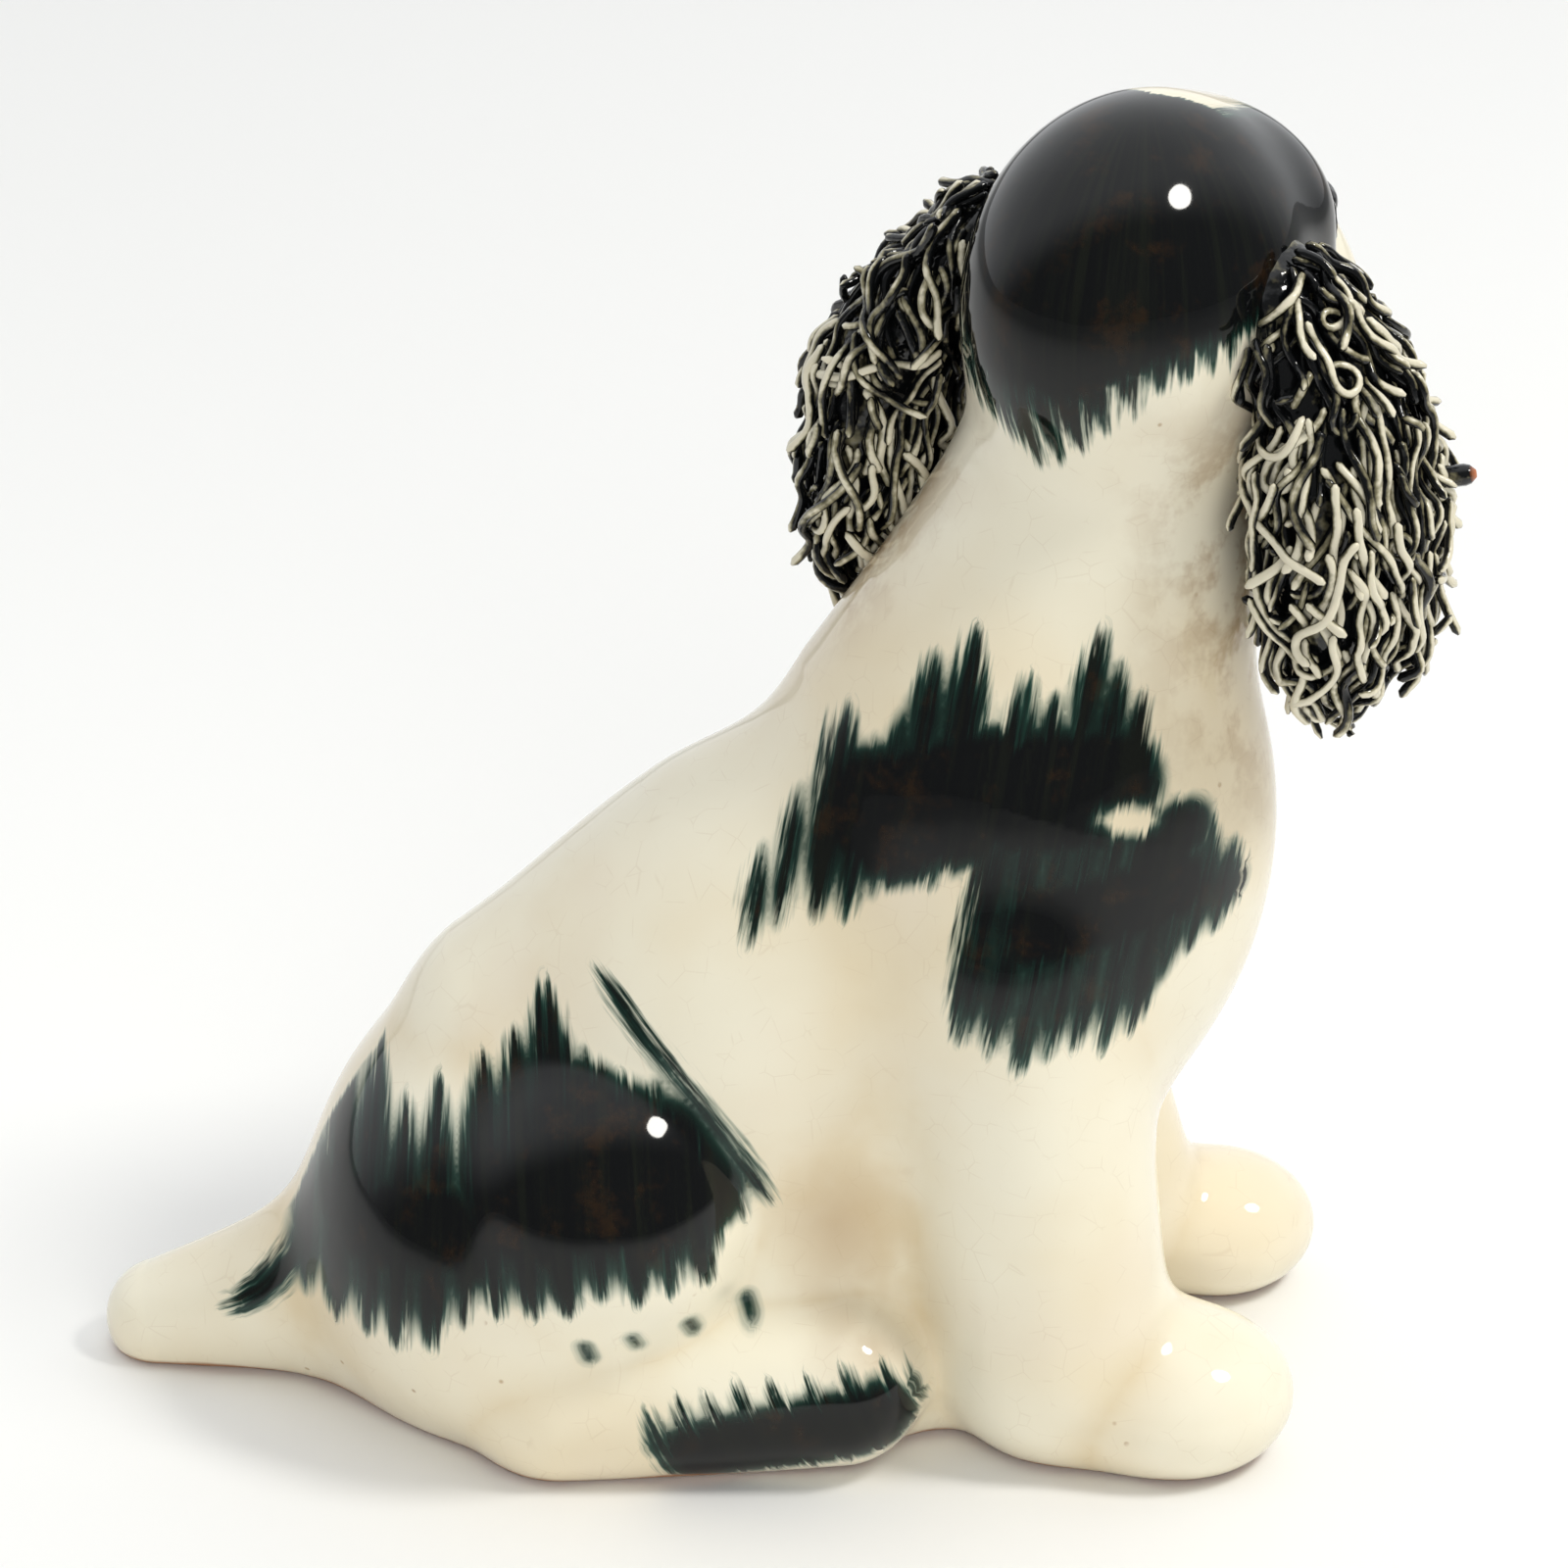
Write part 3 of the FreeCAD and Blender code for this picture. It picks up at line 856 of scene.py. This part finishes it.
def walk_strands(form, starts, draw, steps):
    """Let strands run down over the ear from their starts, each wandering and curling."""
    count = len(starts)
    heading = draw.normal(0, 0.32, count)
    swing = draw.uniform(0.1, 0.5, count)
    pace = draw.uniform(0.35, 0.9, count)
    phase = draw.uniform(0, 2 * math.pi, count)
    curl = draw.choice([0, 0, 0, 0.1, -0.1, 0.3, -0.3], count)
    curl_start = draw.uniform(5, 14, count)
    level = np.full(count, LOWEST_LEVEL)
    points, path, facing = starts, [], []
    for number in range(steps):
        along = number * STRAND_STEP
        points, normals = on_level(form, points, level)
        path.append(points)
        facing.append(normals)
        down = unit(np.array([0, 0, -1.0]) + normals * normals[:, 2:])
        across = np.cross(normals, down)
        angle = heading + swing * np.sin(along * pace + phase)
        angle += curl * np.maximum(0, along - curl_start) ** 1.3
        step = down * np.cos(angle)[:, None] + across * np.sin(angle)[:, None]
        points = points + step * STRAND_STEP
    return np.stack(path, 1), np.stack(facing, 1)


def smoothed(values, passes=3):
    for _ in range(passes):
        padded = np.concatenate([values[:1], values, values[-1:]])
        values = (padded[:-2] + 2 * padded[1:-1] + padded[2:]) / 4
    return values


def stacked_level(path, normals, laid, laid_level):
    """Height at which a strand clears the strands that it crosses."""
    level = np.full(len(path), LOWEST_LEVEL)
    if not len(laid):
        return level
    gap = path[:, None] - laid[None]
    away = (gap * normals[:, None]).sum(-1)
    flat = np.sqrt(np.maximum((gap**2).sum(-1) - away**2, 0))
    touch = 1.75 * STRAND_RADIUS
    rise = laid_level[None] + np.sqrt(np.maximum(touch**2 - flat**2, 0))
    rise = np.where((flat < touch) & (np.abs(away) < 6), rise, 0)
    return np.maximum(level, rise.max(1))


def lay_strands(ear):
    """All the strands of one ear, each as its path, normals, levels and own numbers."""
    draw = np.random.default_rng(ear["seed"])
    form = ear_form(ear)
    starts = strand_starts(ear, draw, STRAND_COUNT * 3)
    paths, facing = walk_strands(form, starts, draw, LONGEST_STRAND)
    clear = skin(paths.reshape(-1, 3)).reshape(paths.shape[:2]) > STRAND_CLEARANCE
    lengths = np.clip(draw.normal(13, 5, len(paths)), 5, 27) / STRAND_STEP
    laid, laid_level, strands = np.zeros((0, 3)), np.zeros(0), []
    for path, normals, free, length in zip(paths, facing, clear, lengths):
        stop = int(min(length, len(free) if free.all() else np.argmin(free)))
        if stop < SHORTEST_STRAND or len(strands) >= STRAND_COUNT:
            continue
        path, normals = path[:stop], normals[:stop]
        level = stacked_level(path, normals, laid, laid_level)
        level = np.maximum(smoothed(level, 4), smoothed(level, 1) - 0.25)
        if level.max() > draw.uniform(1.6, 3.4):
            continue
        left_over = np.arange(len(level))[::-1] * STRAND_STEP
        lift = draw.choice([0, 0, 0, 1.2, 2.2]) * np.clip(1 - left_over / 4.0, 0, 1) ** 2
        level = level + lift
        path, normals = on_level(form, path, level)
        path = np.stack([smoothed(path[:, i], 2) for i in range(3)], -1)
        laid = np.concatenate([laid, path])
        laid_level = np.concatenate([laid_level, level])
        strands.append(
            {
                "path": path,
                "normals": normals,
                "level": level,
                "tone": draw.uniform(0, 1),
                "radius": STRAND_RADIUS * draw.uniform(0.86, 1.12),
            }
        )
    return strands


RING = 10


def tube(strand):
    """A closed, round-ended tube along a strand, with its ridge and level numbers."""
    path, normals, radius = strand["path"], strand["normals"], strand["radius"]
    tangents = unit(np.gradient(path, axis=0))
    across = unit(np.cross(tangents, normals))
    upward = np.cross(across, tangents)
    ends = np.minimum(np.arange(len(path)), np.arange(len(path))[::-1]) * STRAND_STEP
    taper = np.sqrt(np.clip(1 - (1 - ends / radius).clip(0, 1) ** 2, 0.12, 1))
    angles = np.arange(RING) * 2 * math.pi / RING
    rings = path[:, None] + (radius * taper)[:, None, None] * (
        upward[:, None] * np.cos(angles)[None, :, None]
        + across[:, None] * np.sin(angles)[None, :, None]
    )
    count = len(path)
    points = np.concatenate([rings.reshape(-1, 3), path[:1], path[-1:]])
    i, j = np.meshgrid(np.arange(count - 1), np.arange(RING), indexing="ij")
    a, b = i * RING + j, i * RING + (j + 1) % RING
    c, d = b + RING, a + RING
    quads = np.stack([a, d, c, b], -1).reshape(-1, 4)
    triangles = np.concatenate([quads[:, [0, 1, 2]], quads[:, [0, 2, 3]]])
    around = np.arange(RING)
    after = (around + 1) % RING
    first = np.stack([after, np.full(RING, count * RING), around], -1)
    base = (count - 1) * RING
    last = np.stack([base + around, np.full(RING, count * RING + 1), base + after], -1)
    ridge = np.concatenate([np.tile(np.cos(angles), count), [0, 0]])
    level = np.concatenate([np.repeat(strand["level"], RING), strand["level"][[0, -1]]])
    length = np.concatenate([np.repeat(np.arange(count), RING), [0, count]]) * STRAND_STEP
    snapped = length > (length.max() - 1.0 if strand.get("broken") else np.inf)
    numbers = {
        "ridge": ridge,
        "level": level,
        "tone": np.full(len(points), strand["tone"]),
        "broken": snapped.astype(float),
    }
    return points, np.concatenate([triangles, first, last]), numbers


def broken_stub(ear):
    """A thick strand that stands out of the right ear, snapped off to show its clay."""
    form = ear_form(ear)
    start = ear["pad"] + turned_axes(HEAD_TURN, ear["pad_lean"]) @ np.array([6.0, -6.0, 5.0])
    start, normal = on_level(form, start[None], np.array([0.3]))
    reach = np.arange(10)[:, None] * STRAND_STEP
    path = start + normal * reach + np.array([0, -0.02, 0.03]) * reach**1.5
    side = unit(np.cross(normal, [[0, 0, 1.0]]))
    return {
        "path": path,
        "normals": np.repeat(side, len(path), 0),
        "level": np.full(len(path), 0.0),
        "tone": 0.0,
        "radius": 1.15,
        "broken": True,
    }


# ---------------------------------------------------------------- materials


class Shade:
    """Shorthand for building one node material."""

    def __init__(self, name):
        self.material = bpy.data.materials.new(name)
        self.material.use_nodes = True
        self.tree = self.material.node_tree
        self.shader = self.tree.nodes["Principled BSDF"]

    def plug(self, socket, value):
        if isinstance(value, bpy.types.NodeSocket):
            self.tree.links.new(value, socket)
        else:
            socket.default_value = value

    def fill(self, node, **values):
        """Plug values into a node's named sockets, with spaces written as underscores."""
        for name, value in values.items():
            self.plug(node.inputs[name.replace("_", " ")], value)

    def set(self, **values):
        """Fill sockets of the glaze shader."""
        self.fill(self.shader, **values)

    def node(self, kind, *inputs, **settings):
        """A new node with its settings, and its first sockets plugged in order."""
        node = self.tree.nodes.new("ShaderNode" + kind)
        for name, value in settings.items():
            setattr(node, name, value)
        for socket, value in zip(node.inputs, inputs):
            self.plug(socket, value)
        return node

    def number(self, name):
        """A per-vertex number of the mesh."""
        return self.node("Attribute", attribute_name=name).outputs["Fac"]

    def place(self):
        """The place on the figure, in metres."""
        return self.node("TexCoord").outputs["Object"]

    def add(self, first, second):
        return self.node("Math", first, second, operation="ADD").outputs[0]

    def times(self, first, second):
        return self.node("Math", first, second, operation="MULTIPLY").outputs[0]

    def spread(self, value, factor, middle=0.5):
        """How far a value is from its middle, times a factor."""
        return self.times(self.add(value, -middle), factor)

    def ease(self, value, low, high, start=0.0, end=1.0):
        """Smoothly from start to end as the value goes from low to high."""
        node = self.node(
            "MapRange", value, low, high, start, end, interpolation_type="SMOOTHSTEP"
        )
        return node.outputs["Result"]

    def mix(self, share, first, second):
        first, second = ((*c, 1) if isinstance(c, tuple) else c for c in (first, second))
        node = self.node("Mix", data_type="RGBA")
        self.fill(node, Factor=share, A=first, B=second)
        return node.outputs["Result"]

    def vector(self, x, y, z=0.0):
        return self.node("CombineXYZ", x, y, z).outputs[0]

    def height_of(self, place):
        return self.node("SeparateXYZ", place).outputs["Z"]

    def noise(self, place, scale, detail=2.0, roughness=0.5):
        node = self.node("TexNoise")
        self.fill(node, Vector=place, Scale=scale, Detail=detail, Roughness=roughness)
        return node.outputs["Fac"]

    def cells(self, place, scale, feature="DISTANCE_TO_EDGE"):
        node = self.node("TexVoronoi", feature=feature)
        self.fill(node, Vector=place, Scale=scale)
        return node.outputs["Distance"]

    def bump(self, height, strength, distance):
        node = self.node("Bump")
        self.fill(node, Strength=strength, Distance=distance, Height=height)
        self.set(Normal=node.outputs["Normal"])


CREAM = (0.87, 0.82, 0.67)
WARM_CREAM = (0.80, 0.70, 0.51)
PINK_CREAM = (0.80, 0.71, 0.57)
# painted shade colour for the creases
CREASE_SHADE_COLOUR = (0.70, 0.56, 0.34)
# brown of the crazing, the specks and the stains round the ears, also painted shade at the elbow
BROWN_STAIN_AND_SHADE = (0.36, 0.20, 0.07)
MOUTH_BROWN = (0.10, 0.045, 0.02)
BARE_CLAY = (0.42, 0.22, 0.12)
INK_BLACK = (0.004, 0.0045, 0.005)
INK_BROWN = (0.030, 0.015, 0.006)
INK_OLIVE = (0.013, 0.016, 0.009)
INK_GREEN = (0.010, 0.035, 0.026)
INK_TEAL = (0.085, 0.185, 0.145)


def cream_colour(shade, place):
    """Cream glaze with cloudy yellow and pink tints, pinholes and faint crazing."""
    cloud = shade.noise(place, 26, 3)
    blush = shade.noise(place, 41, 2)
    colour = shade.mix(shade.ease(cloud, 0.40, 0.68), CREAM, WARM_CREAM)
    colour = shade.mix(shade.times(shade.ease(blush, 0.48, 0.72), 0.6), colour, PINK_CREAM)
    warp = shade.noise(place, 300, 2)
    crackle = shade.cells(place, 330)
    line = shade.ease(crackle, 0.004, 0.03, 0.10, 0.0)
    line = shade.times(line, shade.ease(warp, 0.45, 0.62))
    colour = shade.mix(line, colour, BROWN_STAIN_AND_SHADE)
    specks = shade.cells(place, 260, "F1")
    chosen = shade.ease(shade.noise(place, 120, 1), 0.60, 0.66)
    dot = shade.times(shade.ease(specks, 0.05, 0.11, 1.0, 0.0), chosen)
    return shade.mix(shade.times(dot, 0.65), colour, BROWN_STAIN_AND_SHADE)


def inked(shade, place, colour):
    """Brushed black glaze over the cream, thin and green at the edges of its strokes."""
    across, along = shade.number("brush_x"), shade.number("brush_y")
    hairs = shade.noise(shade.vector(across, shade.times(along, 0.06)), 1.6, 3, 0.62)
    streaks = shade.noise(shade.vector(across, shade.times(along, 0.03), 7.0), 0.8, 4, 0.7)
    frayed = shade.times(shade.spread(hairs, 5.0, 0.52), shade.number("ragged"))
    margin = shade.add(shade.number("ink"), frayed)
    cover = shade.ease(margin, -0.7, 0.9)
    uneven = shade.times(shade.spread(streaks, 6.5), shade.number("ragged"))
    depth = shade.add(margin, uneven)
    full = shade.ease(depth, -0.4, 2.4)
    rust = shade.ease(shade.noise(place, 170, 4, 0.7), 0.52, 0.72)
    olive = shade.times(shade.ease(streaks, 0.46, 0.66), 0.35)
    black = shade.mix(shade.times(rust, 0.6), shade.mix(olive, INK_BLACK, INK_OLIVE), INK_BROWN)
    thin = shade.mix(shade.ease(margin, -0.3, 1.3), INK_TEAL, INK_GREEN)
    return shade.mix(cover, colour, shade.mix(full, thin, black))


def glaze_material():
    """The figure's glaze: cream, brushed black patches, painted shade in creases, bare foot rim."""
    shade = Shade("brushed_cream_glaze")
    place = shade.place()
    colour = cream_colour(shade, place)
    cloud = shade.noise(place, 90, 3)
    # Painted shade in the creases, broken up by the cloud noise.
    gather = shade.times(shade.number("crease_shade"), shade.ease(cloud, 0.3, 0.7, 0.25, 0.9))
    colour = shade.mix(shade.times(gather, 0.85), colour, CREASE_SHADE_COLOUR)
    mottle = shade.ease(shade.noise(place, 150, 4, 0.65), 0.42, 0.62, 0.12, 1.0)
    brown = shade.times(shade.number("around_ear"), mottle)
    # Painted shade along the fold by the right elbow.
    elbow = shade.times(shade.number("elbow"), shade.ease(cloud, 0.35, 0.6, 0.3, 1.0))
    colour = shade.mix(shade.times(brown, 0.95), colour, BROWN_STAIN_AND_SHADE)
    colour = shade.mix(shade.times(elbow, 0.55), colour, BROWN_STAIN_AND_SHADE)
    colour = shade.mix(shade.times(shade.number("mouth"), 0.75), colour, MOUTH_BROWN)
    colour = inked(shade, place, colour)
    rim = shade.add(shade.height_of(place), shade.spread(cloud, 0.0022))
    bare = shade.ease(rim, 0.0006, 0.0013, 1.0, 0.0)
    colour = shade.mix(bare, colour, BARE_CLAY)
    ripple = shade.noise(place, 55, 2)
    peel = shade.noise(place, 420, 1)
    shade.bump(shade.add(ripple, shade.times(peel, 0.03)), 0.22, 0.0012)
    shade.set(
        Base_Color=colour,
        Roughness=shade.ease(bare, 0.0, 1.0, 0.055, 0.75),
        IOR=1.39,
    )
    return shade.material


STRAND_CREAM = (0.74, 0.69, 0.54)
STRAND_OLIVE = (0.25, 0.225, 0.135)
TERRACOTTA = (0.50, 0.17, 0.07)


def strand_material():
    """Strands with cream showing on the ridges and black glaze run into the hollows."""
    shade = Shade("strand_glaze")
    place = shade.place()
    patchy = shade.noise(place, 420, 3, 0.6)
    broad = shade.noise(place, 75, 2)
    wear = shade.number("ridge")
    for share in (
        shade.times(shade.number("level"), 0.20),
        shade.ease(shade.height_of(place), 0.100, 0.132, -0.42, -0.72),
        shade.spread(shade.number("tone"), 0.75),
        shade.spread(patchy, 1.5),
        shade.spread(broad, 1.6),
    ):
        wear = shade.add(wear, share)
    olive = shade.ease(wear, 0.22, 0.60)
    cream = shade.ease(wear, 0.50, 0.88)
    colour = shade.mix(olive, INK_BLACK, STRAND_OLIVE)
    colour = shade.mix(cream, colour, STRAND_CREAM)
    snapped = shade.number("broken")
    colour = shade.mix(snapped, colour, TERRACOTTA)
    shade.bump(shade.noise(place, 900, 2), 0.25, 0.0003)
    shade.set(
        Base_Color=colour,
        Roughness=shade.add(shade.ease(cream, 0.0, 1.0, 0.08, 0.16), shade.times(snapped, 0.5)),
        IOR=1.5,
    )
    return shade.material


def pad_material():
    """Dark glaze pooled over the clay under the strands."""
    shade = Shade("pooled_dark_glaze")
    place = shade.place()
    pools = shade.noise(place, 260, 3, 0.6)
    colour = shade.mix(shade.ease(pools, 0.55, 0.75), INK_BLACK, STRAND_OLIVE)
    shade.bump(pools, 0.5, 0.0008)
    shade.set(Base_Color=colour, Roughness=0.09, IOR=1.5)
    return shade.material


def nose_material():
    shade = Shade("black_nose_glaze")
    place = shade.place()
    pores = shade.cells(place, 1400, "F1")
    rust = shade.ease(shade.noise(place, 400, 3), 0.55, 0.75)
    shade.bump(pores, 0.35, 0.0002)
    shade.set(
        Base_Color=shade.mix(rust, INK_BLACK, INK_BROWN),
        Roughness=0.08, IOR=1.5,
    )
    return shade.material


def eye_material():
    """A painted eye: black pupil, brown iris with a darker rim, thin cream corners."""
    shade = Shade("painted_eye_glaze")
    place = shade.place()
    gaze = shade.add(shade.number("gaze"), shade.times(shade.noise(place, 900, 2), 0.03))
    iris = shade.mix(shade.ease(gaze, 0.62, 0.86), (0.012, 0.006, 0.003), (0.13, 0.045, 0.012))
    colour = shade.mix(shade.ease(gaze, 0.42, 0.50), (0.62, 0.54, 0.40), iris)
    colour = shade.mix(shade.ease(gaze, 0.865, 0.885), colour, INK_BLACK)
    shade.bump(shade.noise(place, 700, 2), 0.08, 0.0002)
    shade.set(Base_Color=colour, Roughness=0.05, IOR=1.5)
    return shade.material


def bare_clay_material():
    """The unglazed underside: matt, gritty and scuffed."""
    shade = Shade("bare_earthenware")
    place = shade.place()
    grit = shade.noise(place, 1500, 4, 0.7)
    cloud = shade.noise(place, 60, 4)
    colour = shade.mix(shade.ease(cloud, 0.35, 0.7), (0.56, 0.36, 0.22), (0.40, 0.22, 0.13))
    colour = shade.mix(shade.ease(grit, 0.55, 0.75, 0.0, 0.5), colour, (0.20, 0.11, 0.07))
    shade.bump(grit, 0.5, 0.0003)
    shade.set(Base_Color=colour, Roughness=shade.ease(cloud, 0.3, 0.7, 0.72, 0.9), IOR=1.45)
    return shade.material


# ---------------------------------------------------------------- making the pieces


def add_object(name, data):
    item = bpy.data.objects.new(name, data)
    bpy.context.scene.collection.objects.link(item)
    return item


def make_piece(name, points, triangles, material, node, numbers=None, field=None):
    """A mesh piece in metres, riding on the figure and standing for its CAD node."""
    mesh = bpy.data.meshes.new(name)
    mesh.from_pydata((points * METRE).tolist(), [], triangles.tolist())
    mesh.materials.append(material)
    mesh.shade_smooth()
    for key, values in (numbers or {}).items():
        layer = mesh.attributes.new(key, "FLOAT", "POINT")
        layer.data.foreach_set("value", np.asarray(values, np.float32))
    if field is not None:
        mesh.normals_split_custom_set_from_vertices(unit(gradient(field, points)).tolist())
    piece = add_object(name, mesh)
    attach(piece, "root")
    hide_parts(node)


NET_MARGIN, NET_BOTTOM = 6, -2.1  # the skin's net round the CAD box and under the table
BEAD_STEP = 0.3  # cell size of the nets of the nose and the eyes


def make_skin(glaze):
    """The glazed skin, cut into the pieces of clay that it covers."""
    low = np.array(cad_low) / METRE - NET_MARGIN
    high = np.array(cad_high) / METRE + NET_MARGIN
    low[2] = NET_BOTTOM
    points, triangles = surface_net(skin, low, high, NET_STEP)
    parts = {}
    for name, side in REGIONS.items():
        points, parts[name], triangles = split(points, triangles, side)
    parts["torso"] = triangles
    points, muzzle, parts["head"] = split(points, parts.pop("head"), muzzle_side)
    parts["muzzle"] = muzzle
    for name, part in parts.items():
        own_points, own = compact(*cap(*compact(points, part)))
        numbers = {**brushwork(own_points), **stains_and_shade(own_points)}
        node = name + "_shell" if name in ("head", "torso") else name
        make_piece(name + "_glazed", own_points, own, glaze, node, numbers, skin)


def make_sole(clay):
    """The bare clay plate that closes the underside, with its vent hole."""

    def plate(points):
        flat = (points - SOLE_MIDDLE)[..., :2] / SOLE_HALF[:2]
        around = (np.linalg.norm(flat, axis=-1) - 1) * SOLE_HALF[0] + 0.25
        slab = np.abs(points[..., 2] - SOLE_MIDDLE[2] - 0.15) - SOLE_HALF[2] + 0.2
        return carve(np.maximum(around, slab), vent_hole(points), 0.8)

    def vent_hole(points):
        return np.linalg.norm((points - VENT)[..., :2], axis=-1) - VENT_RADIUS

    points, triangles = surface_net(plate, SOLE_LOW - 1.5, SOLE_HIGH + 1.5, 0.8)
    make_piece("sole_plate_bare", points, triangles, clay, "sole_plate")


def make_nose(glaze):
    middle = head_point(37.6, 0, -2.8)
    bridge = ellipsoid(middle, (3.2, 4.4, 3.1), HEAD_TURN)
    lower = head_form((37.8, 0, -4.4), (2.5, 2.6, 2.6))
    nostrils = [head_form((40.2, side * 2.5, -3.5), (1.6, 0.95, 0.85)) for side in (-1, 1)]

    def nose(points):
        field = blend(bridge(points), lower(points), 2.0)
        for nostril in nostrils:
            field = carve(field, nostril(points), 0.6)
        return field

    points, triangles = surface_net(nose, middle - 7, middle + 7, BEAD_STEP)
    make_piece("nose_glazed", points, triangles, glaze, "nose", field=nose)


def make_eye(name, side, glaze):
    middle = eye_middle(side)
    ball = ellipsoid(middle, (EYE_RADIUS,) * 3)
    points, triangles = surface_net(ball, middle - 4, middle + 4, BEAD_STEP)
    gaze = unit(FORWARD + LEFTWARD * 0.42 * side + np.array([0, 0, 0.06]))
    numbers = {"gaze": unit(points - middle) @ gaze}
    make_piece(name + "_painted", points, triangles, glaze, name, numbers, ball)


def make_ear(ear, pad_glaze, strand_glaze):
    """One ear: its dark pad, and its strands grouped in tiers from crown to tip."""
    form = ear_form(ear)

    def pad(points):
        lumps = np.sin(points @ np.array([1.9, 1.1, 0.7])) * np.sin(points[..., 2] * 1.4)
        return np.maximum(form(points) + 0.2 * lumps, -skin(points) - 1.5)

    low, high = ear["pad"] - (18, 18, 22), ear["pad"] + (18, 18, 38)
    points, triangles = surface_net(pad, low, high, 0.9)
    pad_name = ear["name"] + "_pad"
    make_piece(pad_name + "_glazed", points, triangles, pad_glaze, pad_name)

    strands = lay_strands(ear)
    if ear["name"] == "right_ear":
        strands.append(broken_stub(ear))
    tiers = {tier: [] for tier in TIERS}
    for strand in strands:
        height = strand["path"][:, 2].mean()
        tier = next(t for t, floor in zip(TIERS, TIER_FLOORS) if height >= floor)
        tiers[tier].append(strand)
    for tier, members in tiers.items():
        points, triangles, numbers = gather([tube(strand) for strand in members])
        node = "%s_%s_strands" % (ear["name"], tier)
        make_piece(
            node + "_glazed", points, triangles, strand_glaze, node, numbers
        )


def gather(tubes):
    """Several tubes as one mesh of separate closed strands."""
    points, triangles, numbers, start = [], [], {}, 0
    for tube_points, tube_triangles, tube_numbers in tubes:
        points.append(tube_points)
        triangles.append(tube_triangles + start)
        start += len(tube_points)
        for key, values in tube_numbers.items():
            numbers.setdefault(key, []).append(values)
    joined = {key: np.concatenate(values) for key, values in numbers.items()}
    return np.concatenate(points), np.concatenate(triangles), joined


make_skin(glaze_material())
make_sole(bare_clay_material())
make_nose(nose_material())
eye_glaze = eye_material()
make_eye("right_eye", -1, eye_glaze)
make_eye("left_eye", 1, eye_glaze)
dark_glaze, strand_glaze = pad_material(), strand_material()
for one_ear in EARS:
    make_ear(one_ear, dark_glaze, strand_glaze)


# ---------------------------------------------------------------- floor, light and camera


AIM = Vector((0, 0, 0.07))  # what the lamps and the camera point at
CAMERA_DISTANCE = 0.65
CAMERA_DOWN = 25  # degrees that the camera looks down
FOCAL_LENGTH = 140.4


def make_floor():
    """A pale floor, far larger than the figure, darkened further away by painted shade."""
    shade = Shade("pale_floor_painted_falloff")
    place = shade.place()
    cloud = shade.noise(place, 3, 3)
    near = shade.mix(cloud, (0.865, 0.86, 0.845), (0.89, 0.885, 0.875))
    # Painted falloff of light: the floor darkens from 0.44 m to 0.95 m away from a point behind the
    # figure.
    away = shade.node("VectorMath", place, (0.35, 0, 0), operation="DISTANCE")
    colour = shade.mix(shade.ease(away.outputs["Value"], 0.44, 0.95), near, (0.34, 0.34, 0.335))
    shade.set(Base_Color=colour, Roughness=0.6)
    half = 2.5
    mesh = bpy.data.meshes.new("floor")
    mesh.from_pydata(
        [(-half, -half, 0), (half, -half, 0), (half, half, 0), (-half, half, 0)],
        [], [(0, 1, 2, 3)],
    )
    mesh.materials.append(shade.material)
    floor = add_object("floor", mesh)


def make_light(name, place, size, power, colour=(1, 1, 1)):
    """A round lamp aimed at the figure."""
    data = bpy.data.lights.new(name, "AREA")
    data.shape = "DISK"
    data.size = size
    data.energy = power
    data.color = colour
    lamp = add_object(name, data)
    lamp.location = place
    aim = AIM - Vector(place)
    lamp.rotation_euler = aim.to_track_quat("-Z", "Y").to_euler()
    return lamp


def make_lights():
    """A small lamp to the dog's right, a soft fill, and a room brighter above and behind."""
    make_light("lamp", (-0.13, -0.69, 1.00), 0.26, 6.4, (1.0, 0.98, 0.92))
    fill = make_light("soft_fill", (-1.05, -0.15, 0.55), 0.9, 1.08, (0.99, 0.99, 0.95))
    fill.data.spread = math.radians(60)
    fill.visible_glossy = False
    world = bpy.data.worlds.new("pale_room")
    world.use_nodes = True
    nodes, links = world.node_tree.nodes, world.node_tree.links
    direction = nodes.new("ShaderNodeTexCoord")
    facing = nodes.new("ShaderNodeVectorMath")
    facing.operation = "DOT_PRODUCT"
    facing.inputs[1].default_value = (0.75, 0.15, 0.64)
    links.new(direction.outputs["Generated"], facing.inputs[0])
    ramp = nodes.new("ShaderNodeMapRange")
    ramp.interpolation_type = "SMOOTHSTEP"
    for name, value in (("From Min", 0.05), ("From Max", 0.60), ("To Min", 0.16), ("To Max", 1.05)):
        ramp.inputs[name].default_value = value
    links.new(facing.outputs["Value"], ramp.inputs["Value"])
    links.new(ramp.outputs["Result"], nodes["Background"].inputs["Strength"])
    nodes["Background"].inputs["Color"].default_value = (0.96, 0.98, 1.0, 1)
    bpy.context.scene.world = world


def make_camera():
    """From the dog's right side, looking down a little, as on a table top."""
    data = bpy.data.cameras.new("camera")
    data.sensor_width = 36.0
    data.lens = FOCAL_LENGTH
    camera = add_object("camera", data)
    down = math.radians(CAMERA_DOWN)
    back = Vector((-math.cos(down), 0, math.sin(down)))
    camera.location = AIM + back * CAMERA_DISTANCE
    camera.rotation_euler = (-back).to_track_quat("-Z", "Y").to_euler()
    bpy.context.scene.camera = camera


make_floor()
make_lights()
make_camera()
bpy.context.scene.view_settings.view_transform = "Standard"
